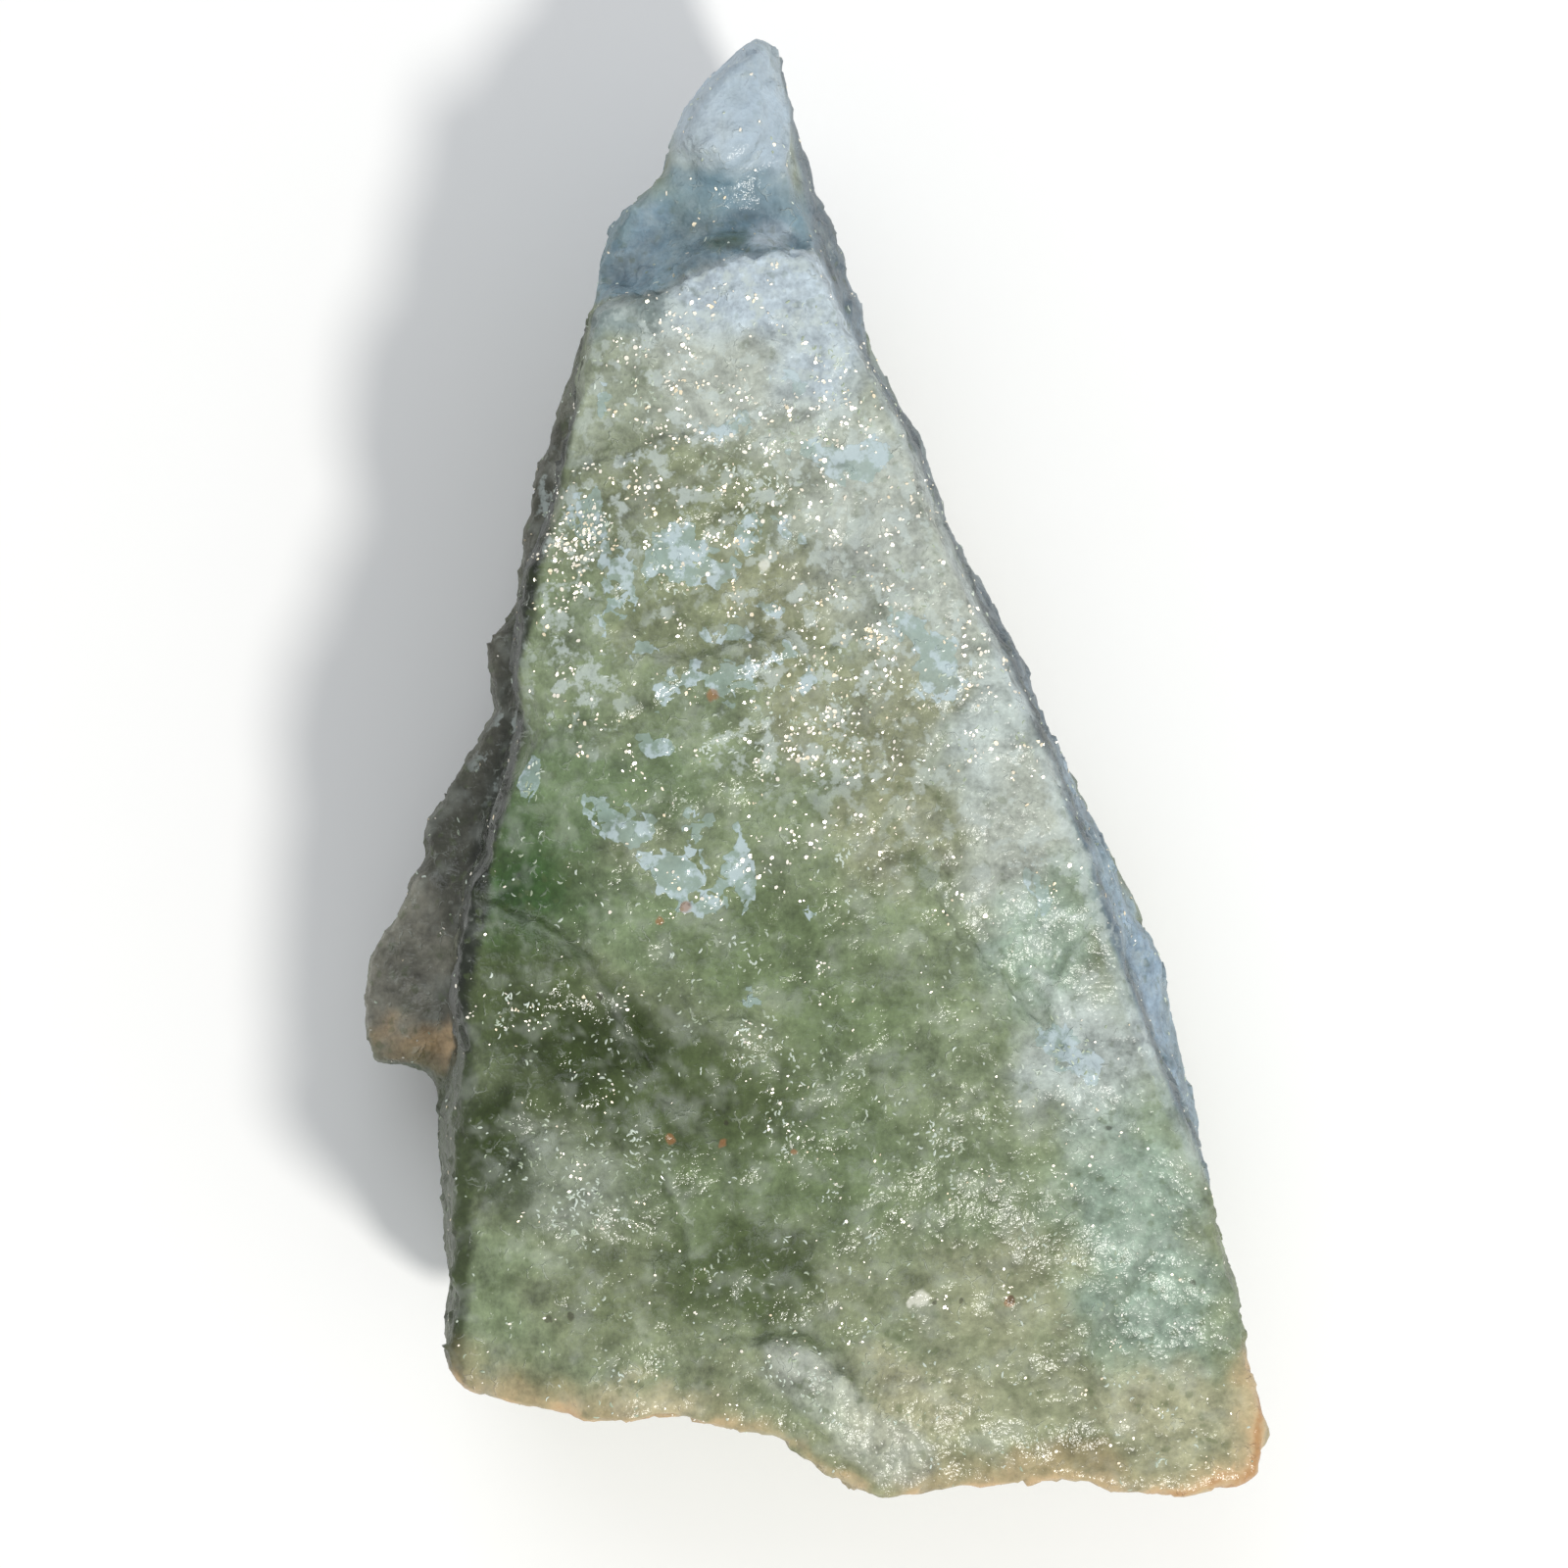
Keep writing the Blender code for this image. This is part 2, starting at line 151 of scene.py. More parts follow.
# Broken steps of the broad face: the points of each edge. The ground on its left hand falls by the drop,
# and comes level again over the reach.
STEPS = (
    (((-16.8, 35.0), (-10.9, 35.8), (-9.1, 36.9), (-5.0, 38.3), (0.1, 38.7)), 1.3, 2.6),
    (((-24.5, -10.5), (-20.5, -12.0), (-17.2, -14.0), (-15.6, -17.0), (-13.0, -21.5)), 0.7, 4.0),
    (((-13.0, -24.0), (-9.0, -26.5), (-6.5, -29.0), (-5.5, -33.5)), 0.5, 3.5),
    (((11.0, -12.6), (14.6, -16.6), (17.4, -19.0), (20.2, -24.0)), 0.6, 3.5),
    (((19.6, -14.4), (17.8, -17.4), (18.6, -21.0), (22.6, -25.6)), -0.5, 3.0),
    (((-17.4, 12.2), (-14.0, 11.6), (-12.2, 8.2), (-9.4, 7.6), (-3.0, 9.6), (1.4, 8.4)), 0.45, 3.0),
    (((-12.6, 4.2), (-9.4, 6.6), (-5.0, 6.8), (-1.6, 8.0), (2.4, 7.0)), -0.4, 2.6),
    (((-15.2, 22.6), (-10.0, 24.6), (-5.4, 23.0), (-1.0, 25.4)), 0.4, 3.0),
    (((-24.0, -28.0), (-19.0, -27.4), (-14.5, -28.2), (-10.8, -31.2), (-9.4, -35.4)), -0.5, 3.6),
    (((-5.0, -43.6), (-1.2, -42.8), (2.4, -44.4), (3.2, -47.4)), 0.5, 2.6),
    (((3.0, 30.0), (1.0, 24.6), (3.4, 20.0), (2.2, 15.0), (5.4, 10.6)), 0.5, 3.5),
    (((10.2, 3.2), (8.4, -1.4), (10.6, -6.2), (9.6, -10.4)), 0.45, 3.5),
    (((24.6, -38.0), (21.2, -43.0), (22.2, -48.6)), 0.4, 3.5),
)

# Hair cracks: the points of each, in the recessed neck and on the face
CRACKS = (
    ((-9.6, 39.6), (-8.2, 40.4), (-6.6, 40.2)),
    ((-5.8, 41.0), (-4.4, 40.0), (-3.6, 41.4), (-2.8, 41.2)),
    ((-12.6, -27.6), (-10.8, -28.6), (-9.6, -28.5)),
    ((-18.6, -40.6), (-14.6, -41.6), (-11.6, -43.0), (-9.8, -42.6)),
    ((0.6, -32.6), (4.2, -33.6), (7.0, -32.8)),
)
CRACK_WIDTH = 0.28
CRACK_DEPTH = 0.35

# Where the mica lies thick: x, y, spread and number of spangles
MICA_CLUSTERS = (
    (-18.0, 16.0, 1.6, 60), (-16.8, 19.2, 1.9, 40), (-17.4, 13.6, 2.0, 55), (-13.1, 21.0, 1.4, 26),
    (-6.1, 16.4, 1.2, 24), (-4.7, 20.3, 2.0, 34), (-10.9, 15.9, 1.6, 18), (-9.4, 14.8, 1.2, 14),
    (0.2, 18.9, 1.2, 14), (1.6, 14.4, 2.0, 18), (5.6, 13.7, 1.8, 22), (4.9, 10.0, 1.6, 22),
    (5.6, 8.2, 1.4, 30), (6.4, 6.4, 1.2, 14), (2.4, 5.6, 2.0, 24), (5.6, 4.2, 1.6, 14),
    (0.2, 2.3, 1.8, 22), (3.1, 0.5, 1.4, 22), (-2.0, 2.0, 1.2, 12), (-13.8, 0.5, 1.0, 14),
    (-16.4, -0.3, 0.9, 8), (-10.9, 11.2, 1.0, 12), (-12.7, 31.4, 1.7, 24), (-9.0, 32.8, 2.2, 20),
    (-5.0, 35.0, 2.0, 16), (-13.8, 27.8, 1.2, 8), (-10.1, 24.8, 2.0, 18), (-18.6, 11.5, 1.9, 18),
    (-10.1, 31.4, 1.8, 16), (0.2, 31.4, 2.0, 14), (5.3, -3.9, 2.4, 20), (0.9, -6.8, 2.0, 18),
    (-3.5, -7.5, 1.4, 16), (-10.1, -9.0, 2.0, 18), (-19.7, -19.4, 2.0, 20), (-13.8, -17.2, 1.4, 10),
    (-22.6, -19.0, 1.2, 12), (-17.4, -31.8, 2.6, 20), (-15.2, -34.8, 1.8, 14), (2.4, -17.2, 2.0, 14),
    (-2.8, -25.2, 2.0, 14), (-15.3, -23.8, 1.6, 10), (11.2, -13.4, 2.6, 16), (12.7, -0.3, 2.4, 14),
    (18.6, -9.1, 2.2, 10), (0.2, -28.6, 1.2, 8), (-5.0, -20.4, 1.8, 16), (-0.6, -45.4, 2.4, 18),
    (20.0, -30.0, 5.0, 24), (8.0, -36.0, 6.0, 30), (24.0, -46.0, 5.0, 26), (-8.0, -46.0, 5.0, 18),
    (1.6, 25.5, 2.6, 50), (-5.0, 26.2, 2.6, 40), (-10.9, 26.2, 3.0, 40), (3.8, 26.2, 1.6, 24),
    (-8.0, 29.0, 3.0, 26), (-2.1, 20.3, 3.2, 50), (1.6, 10.0, 2.8, 40), (11.2, 10.0, 2.2, 30),
    (13.4, 6.4, 1.8, 24), (12.6, 1.2, 2.6, 26), (16.3, 0.5, 1.4, 12), (9.0, 18.9, 1.5, 16),
    (6.0, 18.1, 1.5, 14), (-3.0, 1.5, 5.0, 60), (3.0, -2.0, 5.0, 50), (-18.0, 17.0, 2.2, 50),
    (-2.8, 13.0, 3.0, 36), (-12.0, 20.0, 4.0, 30), (-18.0, 6.0, 4.0, 20), (4.0, 33.0, 2.5, 12),
)

# Soft patches of the broad face, laid over one another: x, y, reach across, reach along, turn in degrees,
# colour and strength
# Among them are painted shade on the neck and painted sky light on the spire
PATCHES = (
    (-4.0, 30.0, 12.0, 12.0, 0, "haze_and_highlight", 0.9),
    (-5.0, 49.0, 8.0, 9.0, 0, "milk_and_highlight", 1.0),
    (-4.0, 49.0, 5.0, 6.0, 0, "painted_sky_light", 0.35),
    (-15.2, 27.0, 4.6, 7.0, 5, "sage", 0.85),
    (-13.6, 34.2, 4.4, 3.0, 10, "teal_grey", 0.95),
    (-3.8, 35.8, 6.5, 4.0, 15, "milk_and_highlight", 0.95),
    (1.0, 31.0, 3.6, 6.0, -25, "milk_and_highlight", 0.9),
    (-12.0, 40.0, 5.6, 3.6, 20, "teal_painted_shade", 1.0),
    (-5.5, 41.4, 6.5, 3.4, 0, "teal_painted_shade", 1.0),
    (-9.0, 20.0, 9.0, 5.0, 0, "olive", 0.9),
    (-3.0, 12.0, 7.0, 4.6, -10, "khaki", 0.85),
    (-11.0, 10.0, 7.0, 3.0, 0, "olive", 0.8),
    (5.0, 19.0, 6.0, 9.0, -28, "haze_and_highlight", 0.95),
    (9.5, 10.5, 6.0, 9.0, -25, "haze_and_highlight", 0.9),
    (-19.0, 8.0, 5.0, 9.0, 10, "meadow", 0.9),
    (-9.0, 2.0, 8.0, 5.0, 0, "meadow", 0.9),
    (-1.0, 4.0, 5.0, 4.6, 0, "khaki", 0.8),
    (7.0, 3.0, 6.0, 7.0, -20, "khaki", 0.85),
    (14.0, 2.5, 3.8, 10.0, -25, "pale", 0.95),
    (-18.5, -2.6, 6.5, 5.0, 10, "fern", 0.95),
    (-12.0, -2.5, 6.0, 4.0, 0, "fern", 0.7),
    (-3.0, -5.0, 6.0, 5.0, 0, "meadow", 0.75),
    (7.0, -5.0, 6.0, 6.0, 0, "khaki", 0.8),
    (16.0, -6.0, 4.6, 10.0, -18, "haze_and_highlight", 0.85),
    (-21.5, -10.0, 6.0, 6.5, 0, "deep_green", 1.0),
    (-14.0, -12.0, 6.0, 4.0, 0, "fern", 0.7),
    (-3.0, -14.0, 9.0, 6.0, 0, "leaf", 0.95),
    (8.0, -13.5, 6.0, 6.0, 0, "meadow", 0.7),
    (17.5, -14.0, 5.0, 7.0, -20, "mint", 0.8),
    (-21.5, -18.0, 6.0, 6.5, 0, "moss_and_shade", 0.95),
    (-15.0, -22.5, 8.0, 6.0, -20, "deep_moss", 1.0),
    (-7.0, -26.0, 9.0, 6.0, 0, "moss_and_shade", 0.95),
    (3.5, -20.5, 7.0, 5.0, 0, "leaf", 0.9),
    (11.5, -21.0, 5.5, 6.0, -20, "meadow", 0.7),
    (21.0, -22.5, 5.5, 6.0, -30, "pale", 0.95),
    (-23.0, -28.5, 4.5, 6.0, 0, "deep_moss", 1.0),
    (-17.5, -32.5, 6.4, 4.6, -10, "ash", 0.9),
    (-7.0, -33.0, 7.0, 5.0, 0, "leaf", 0.8),
    (2.5, -30.0, 7.0, 6.0, 0, "leaf", 0.9),
    (12.5, -31.0, 7.0, 5.6, 0, "meadow", 0.8),
    (24.0, -33.0, 6.0, 8.0, 5, "mint", 0.9),
    (-24.0, -40.0, 4.5, 6.0, 0, "meadow", 0.9),
    (-15.0, -40.0, 7.0, 4.4, 0, "olive", 0.7),
    (-15.0, -39.6, 5.0, 3.2, 0, "moss_and_shade", 0.35),
    (-5.5, -38.5, 7.0, 4.4, 0, "moss_and_shade", 0.95),
    (4.0, -40.0, 5.0, 4.0, 0, "olive", 0.8),
    (14.0, -40.5, 7.0, 5.6, 0, "khaki", 0.9),
    (26.0, -41.0, 6.0, 6.0, 0, "mint", 0.9),
    (-23.5, -45.5, 5.0, 2.6, 0, "olive", 0.8),
    (-7.0, -45.9, 4.4, 2.4, 0, "olive", 0.9),
    (-0.6, -45.6, 3.8, 2.5, -15, "pearl", 0.95),
    (7.5, -48.5, 6.5, 4.6, 0, "straw", 0.9),
    (17.0, -49.0, 6.0, 4.6, 0, "khaki", 0.9),
    (27.0, -49.0, 7.0, 4.6, 0, "straw", 0.9),
    (-12.4, -47.2, 4.6, 1.6, -5, "straw", 0.9),
    (19.5, -52.6, 6.5, 2.0, 0, "olive", 0.8),
    (20.0, -52.8, 4.5, 1.6, 0, "rust", 0.25),
)

# Patches of the recessed neck, some of them painted sky light: x, y, reach across, reach along, turn in degrees,
# colour and strength
NECK_PATCHES = (
    (-8.8, 41.4, 2.4, 2.2, 30, "olive", 0.18),
    (-3.4, 42.4, 2.4, 2.0, 0, "milk_and_highlight", 0.15),
    (-3.2, 39.7, 1.7, 1.2, 10, "milk_and_highlight", 0.95),
    (-13.4, 37.6, 2.6, 1.8, 30, "painted_sky_light", 0.3),
    (-12.6, 41.0, 1.8, 1.2, 40, "painted_sky_light", 0.3),
    (-6.4, 39.2, 2.0, 0.7, 10, "moss_and_shade", 0.6),
)

# Outlines of the smooth cleavage flats on the broad face, whose blue white is a painted reflection of the sky
FILMS = (
    ((-15.9, 15.9), (-14.9, 15.7), (-14.4, 16.2), (-13.8, 16.2), (-13.1, 14.8), (-13.0, 13.0), (-13.8, 10.8),
     (-14.7, 10.6), (-15.5, 11.1), (-14.4, 13.0), (-15.2, 13.1), (-15.9, 14.4)),
    ((-18.0, 20.3), (-16.3, 20.5), (-15.7, 19.2), (-15.2, 18.1), (-14.6, 17.0), (-15.5, 15.9), (-16.6, 15.9),
     (-17.5, 17.0), (-18.2, 18.5)),
    ((-12.7, 14.8), (-11.8, 15.9), (-11.5, 17.0), (-10.2, 17.4), (-9.4, 17.7), (-8.5, 17.0), (-7.8, 15.9),
     (-6.9, 15.5), (-5.7, 14.8), (-5.2, 13.7), (-6.1, 13.1), (-7.8, 13.2), (-9.4, 13.1), (-10.2, 13.7),
     (-11.5, 14.1), (-12.2, 13.7)),
    ((-5.6, 17.7), (-4.9, 17.7), (-4.3, 16.6), (-4.6, 15.8), (-5.4, 16.1)),
    ((-4.3, 18.6), (-2.8, 18.5), (-2.1, 17.9), (-1.0, 17.0), (-0.3, 15.5), (-1.2, 15.9), (-2.1, 16.4),
     (-3.2, 16.8), (-3.9, 17.4)),
    ((-4.7, 11.6), (-3.9, 11.9), (-2.8, 11.5), (-2.4, 10.9), (-3.5, 10.9), (-4.4, 11.1)),
    ((-8.3, 9.5), (-7.2, 10.0), (-6.1, 10.4), (-5.2, 10.3), (-4.4, 9.7), (-3.9, 9.0), (-4.9, 9.0), (-6.1, 9.3),
     (-7.2, 8.9)),
    ((-12.0, 5.6), (-10.9, 6.1), (-9.8, 6.7), (-8.7, 7.1), (-7.6, 6.9), (-6.9, 7.5), (-5.9, 7.7), (-5.2, 7.3),
     (-4.3, 7.7), (-3.5, 8.2), (-2.4, 8.6), (-1.5, 8.4), (-1.0, 7.8), (-2.1, 7.8), (-3.2, 7.3), (-3.9, 6.4),
     (-3.5, 5.6), (-4.6, 5.8), (-5.7, 6.2), (-6.3, 5.6), (-6.1, 4.5), (-6.9, 4.7), (-7.6, 5.5), (-8.7, 5.5),
     (-9.8, 5.2), (-10.9, 4.6), (-11.5, 4.0), (-12.0, 4.7)),
    ((-2.1, 5.6), (-1.0, 6.0), (-0.2, 6.7), (0.1, 6.0), (-1.0, 4.9), (-1.9, 4.7)),
    ((-13.0, 8.7), (-12.2, 8.6), (-11.4, 7.5), (-12.4, 7.3), (-13.2, 8.0)),
    ((-16.6, 10.8), (-15.8, 10.6), (-15.6, 9.6), (-16.3, 9.6)),
    ((-12.7, 1.6), (-11.3, 1.8), (-10.2, 1.2), (-10.5, 0.4), (-12.0, 0.4)),
    ((-8.8, 26.2), (-8.0, 25.3), (-6.9, 24.9), (-5.9, 25.8), (-5.4, 26.5), (-5.2, 25.5), (-4.6, 24.7),
     (-5.7, 24.3), (-6.9, 24.1), (-8.0, 24.4)),
    ((5.6, 11.1), (7.1, 11.4), (9.0, 10.0), (10.8, 9.3), (11.5, 7.5), (11.2, 5.6), (9.3, 4.1), (8.2, 5.6),
     (7.1, 8.6)),
    ((-2.1, 23.1), (0.1, 24.0), (3.1, 23.6), (5.3, 24.0), (6.0, 22.5), (4.5, 20.3), (2.3, 21.1), (0.1, 22.4)),
    ((-15.9, 28.0), (-14.9, 27.7), (-15.1, 25.8), (-15.9, 25.8)),
    ((-3.0, 29.3), (-1.3, 29.4), (-0.1, 28.0), (-1.2, 27.4), (-2.4, 27.9)),
    ((-16.8, -2.8), (-14.9, -3.2), (-13.1, -4.1), (-11.8, -3.9), (-11.3, -5.0), (-11.5, -6.1), (-12.4, -6.7),
     (-10.9, -6.9), (-9.4, -6.9), (-8.3, -7.6), (-7.6, -8.7), (-7.8, -9.5), (-9.1, -10.0), (-9.1, -10.9),
     (-10.2, -10.9), (-11.8, -10.2), (-12.2, -8.7), (-12.7, -7.6), (-13.8, -6.5), (-15.3, -5.4), (-16.4, -4.7)),
    ((-9.1, -3.9), (-8.2, -3.6), (-7.4, -4.1), (-8.0, -5.4), (-9.1, -6.9), (-9.6, -6.3), (-9.4, -5.0)),
    ((-5.4, -5.0), (-4.9, -6.1), (-4.4, -7.6), (-4.2, -9.8), (-4.6, -10.9), (-5.7, -11.7), (-6.0, -9.5),
     (-7.2, -8.7), (-6.9, -7.6), (-5.9, -6.9)),
    ((-8.3, -9.5), (-6.1, -9.3), (-5.9, -10.6), (-6.9, -11.7), (-8.3, -11.3), (-8.8, -10.6)),
    ((-0.3, -10.3), (0.2, -10.6), (0.7, -11.7), (-0.0, -11.7)),
    ((-4.7, -17.3), (-3.8, -17.1), (-4.0, -18.0), (-4.7, -18.0)),
    ((-22.3, 0.0), (-20.8, 0.2), (-20.4, -1.4), (-21.2, -2.9), (-22.0, -2.9)),
    ((15.6, -5.4), (17.0, -7.6), (18.1, -11.3), (17.2, -12.0), (16.2, -9.1)),
    ((16.7, -20.1), (18.5, -19.0), (20.0, -20.9), (22.2, -22.7), (21.5, -24.5), (18.9, -23.1), (17.0, -22.0)),
)

# Chips that stand a little out of the broad face: outline, colour, strength and rise
CHIPS = (
    (((-8.0, -20.1), (-6.1, -19.0), (-3.9, -19.4), (-1.9, -21.0), (-3.5, -22.2), (-6.9, -21.6)), "haze_and_highlight", 0.08, 0.3),
    (((-3.9, -43.6), (-1.0, -43.1), (1.6, -44.8), (3.8, -47.3), (7.5, -49.5), (9.7, -52.5), (7.5, -54.3),
      (4.5, -53.9), (1.6, -51.0), (-1.0, -48.8), (-2.8, -45.9)), "haze_and_highlight", 0.45, 0.35),
    (((-21.2, -28.6), (-18.2, -27.5), (-15.3, -28.9), (-13.2, -31.1), (-13.8, -33.0), (-16.0, -35.7),
      (-18.6, -36.4), (-20.8, -34.1), (-21.8, -31.1)), "haze_and_highlight", 0.1, 0.25),
    (((15.6, -15.7), (18.1, -17.9), (19.1, -20.8), (19.8, -24.2), (22.2, -26.0), (21.3, -21.6), (19.6, -17.5),
      (17.0, -15.3)), "pale", 0.5, 0.45),
)

# The ragged edge of the foot, and how strong the iron stain is along it: x, y and strength
FOOT_EDGE = (
    (-27.1, -46.2, 0.5), (-22.7, -48.4, 0.95), (-16.8, -49.8, 0.8), (-10.9, -49.1, 0.7), (-3.5, -50.4, 0.35),
    (-0.6, -52.3, 0.3), (2.3, -54.2, 0.4), (5.3, -55.5, 0.55), (9.7, -54.8, 0.9), (15.6, -54.6, 0.9),
    (20.0, -54.0, 0.4), (25.9, -55.2, 0.75), (30.3, -55.0, 0.9), (33.2, -53.4, 1.0), (34.0, -50.0, 0.8),
    (33.6, -46.5, 0.3),
)
# How far the stain reaches in from that edge
STAIN_REACH = 4.6

# How far the outline is drawn to the right: at each height y, on its left and on its right side
OUTLINE_DRAW = (
    (54.6, 1.2, 0.3), (53.7, 1.1, 0.2), (52.9, 0.75, 0.0), (52.2, 0.4, 0.0), (50.5, 0.0, 0.0), (49.3, -0.3, -0.15),
    (43.9, -0.45, -0.4), (39.4, 0.2, -0.1), (36.1, 0.6, -0.2), (31.7, 0.1, -0.4), (29.5, -0.3, -0.4),
    (25.1, 0.0, 0.4), (19.6, 0.0, -0.3), (15.2, -0.9, -0.65), (10.8, -0.5, -0.3), (7.8, 0.0, 0.3), (4.1, 0.6, 0.0),
    (-0.3, 0.0, 0.2), (-4.7, 0.3, 0.5), (-6.9, 0.7, 0.7), (-9.1, -0.4, 0.4), (-13.5, -0.3, 0.65), (-17.9, -0.3, 0.2),
    (-22.3, 0.4, 0.0), (-26.7, -0.75, 0.0), (-31.1, -0.6, 0.3), (-35.6, -0.75, 0.0), (-40.0, -0.7, 0.95),
    (-44.4, -1.25, 0.0), (-46.6, -0.2, -0.5), (-48.8, 0.7, 0.0), (-53.2, 0.0, 0.6),
)
# How far the foot's edge is drawn down at each x
FOOT_DRAW = (
    (1.0, 0.0), (3.0, 0.4), (5.3, 1.4), (8.2, 1.2), (11.2, 0.5), (14.1, 0.8), (17.1, 0.1), (26.0, 0.4), (30.0, 0.0),
)

# Edges of the broad face. The left and the right one run down from their top corners. The top one runs from left
# to right, and the neck above it lies lower.
LEFT_EDGE = (
    (-16.6, 34.1), (-17.7, 25.8), (-20.0, 15.2), (-21.8, 6.4), (-21.3, 2.1), (-23.4, -5.0), (-24.8, -13.9),
    (-25.6, -17.9), (-25.2, -24.9), (-25.2, -34.8), (-26.1, -44.0),
)
RIGHT_EDGE = (
    (-2.4, 52.7), (-1.7, 49.0), (-0.6, 43.9), (0.3, 38.6), (2.5, 33.6), (5.6, 27.8), (8.8, 21.1), (11.5, 14.4),
    (15.2, 6.4), (18.5, -1.7), (21.5, -10.6), (24.8, -20.1), (29.0, -29.7), (31.0, -34.1), (36.0, -51.4),
)
TOP_EDGE = ((-17.0, 34.6), (-13.0, 35.0), (-10.9, 35.6), (-9.1, 36.7), (-5.0, 38.1), (0.3, 38.6))

# Where broken grain edges catch the light as short curls: x, y, spread and number
SLIVER_CLUSTERS = (
    (-4.6, -20.5, 2.2, 46), (-17.5, -32.6, 3.6, 100), (-13.8, -28.2, 1.6, 24), (-21.2, -29.7, 2.0, 30),
    (19.3, -21.6, 2.8, 44), (12.6, -16.4, 2.4, 30), (-0.6, -45.6, 3.0, 44), (5.3, -29.7, 5.0, 60),
    (-6.5, -29.7, 5.0, 50), (12.6, -27.5, 5.0, 50), (1.6, -23.8, 4.0, 40), (-15.3, -22.3, 3.0, 30),
    (-21.9, -20.1, 2.2, 30), (-9.4, -17.2, 2.5, 20), (-5.0, -14.2, 2.0, 22), (-2.1, 23.3, 3.5, 46),
    (-9.4, 15.9, 4.0, 40), (0.9, 25.5, 3.0, 40), (-5.0, 20.3, 2.5, 34), (-2.1, 4.1, 4.0, 60),
    (2.3, 1.2, 3.0, 40), (-9.4, 1.2, 3.0, 26), (-13.8, 27.7, 3.0, 24), (-17.5, 18.1, 2.0, 34),
    (17.0, -34.8, 6.0, 46), (23.7, -40.7, 6.0, 40), (5.3, -45.9, 6.0, 40), (-13.8, -45.9, 6.0, 36),
    (20.0, -49.5, 6.0, 40), (-21.0, -9.0, 2.5, 12), (-20.8, -1.4, 0.9, 16), (4.0, -9.0, 4.0, 30),
    (8.0, 14.0, 4.0, 34), (10.0, 2.0, 4.0, 34), (-12.0, -38.0, 6.0, 30), (0.0, 31.0, 4.0, 26),
)

# Rust specks: x, y and reach
RUST_SPECKS = (
    (-7.4, 4.9, 0.55), (-9.4, -10.9, 0.5), (-11.4, -12.0, 0.35), (-10.6, -28.3, 0.4), (-6.6, -28.6, 0.4),
    (14.8, -40.4, 0.4), (-1.4, -29.2, 0.3),
)

# White and nearly black specks of the lower face: x, y and reach
WHITE_SPECKS = ((8.2, -40.1, 0.7), (7.4, -40.4, 0.4), (-3.6, 14.6, 0.5))
DARK_SPECKS = (
    (9.2, -40.5, 0.22), (11.1, -40.3, 0.22), (14.9, -40.3, 0.3), (28.8, -39.2, 0.25), (22.2, -27.5, 0.25),
    (-19.6, -41.6, 0.4), (-18.0, -41.4, 0.35), (-6.4, -27.0, 0.2), (-15.9, -17.6, 0.3),
)


def tone(red, green, blue):
    """A colour as it is seen on a screen, 0 to 255, in the linear light that a shader takes."""
    shares = (level / 255 for level in (red, green, blue))
    return (*(s / 12.92 if s <= 0.04045 else ((s + 0.055) / 1.055) ** 2.4 for s in shares), 1.0)


def colour_property(name, words, red, green, blue):
    return FloatVectorProperty(
        name=name, description=words, subtype="COLOR", size=4, min=0.0, max=1.0, default=tone(red, green, blue)
    )


class AventurineShape(bpy.types.PropertyGroup):
    pitch: FloatProperty(
        name="Skin pitch", description="Spacing of the skin's points", unit="LENGTH", default=0.36 * MM
    )
    soften_rounds: IntProperty(name="Soften rounds", description="How far the solid's facets are evened", default=5)
    swell_height: FloatProperty(
        name="Swell height", description="Height of the lumps about 6 mm apart", unit="LENGTH", default=0.36 * MM
    )
    grain_height: FloatProperty(
        name="Grain height", description="Height of the sugary grains", unit="LENGTH", default=0.10 * MM
    )
    flake_tilt: FloatProperty(name="Flake tilt", description="Slope of the small broken flats", default=0.16)
    most_triangles: IntProperty(name="Most triangles", description="Limit for the skin", default=192000)


class AventurineMica(bpy.types.PropertyGroup):
    loose_count: IntProperty(name="Loose spangles", description="Spangles outside the clusters", default=900)
    smallest: FloatProperty(name="Smallest", description="Narrowest spangle", unit="LENGTH", default=0.16 * MM)
    largest: FloatProperty(name="Largest", description="Widest spangle", unit="LENGTH", default=0.42 * MM)
    thickness: FloatProperty(name="Thickness", description="A spangle's thickness", unit="LENGTH", default=0.05 * MM)
    colour: colour_property("Mica", "Colour of the spangles", 252, 246, 232)
    loose_slivers: IntProperty(name="Loose slivers", description="Slivers outside the clusters", default=900)
    sliver_length: FloatProperty(
        name="Sliver length", description="Longest glass sliver", unit="LENGTH", default=0.6 * MM
    )
    sliver_width: FloatProperty(
        name="Sliver width", description="Widest glass sliver", unit="LENGTH", default=0.2 * MM
    )


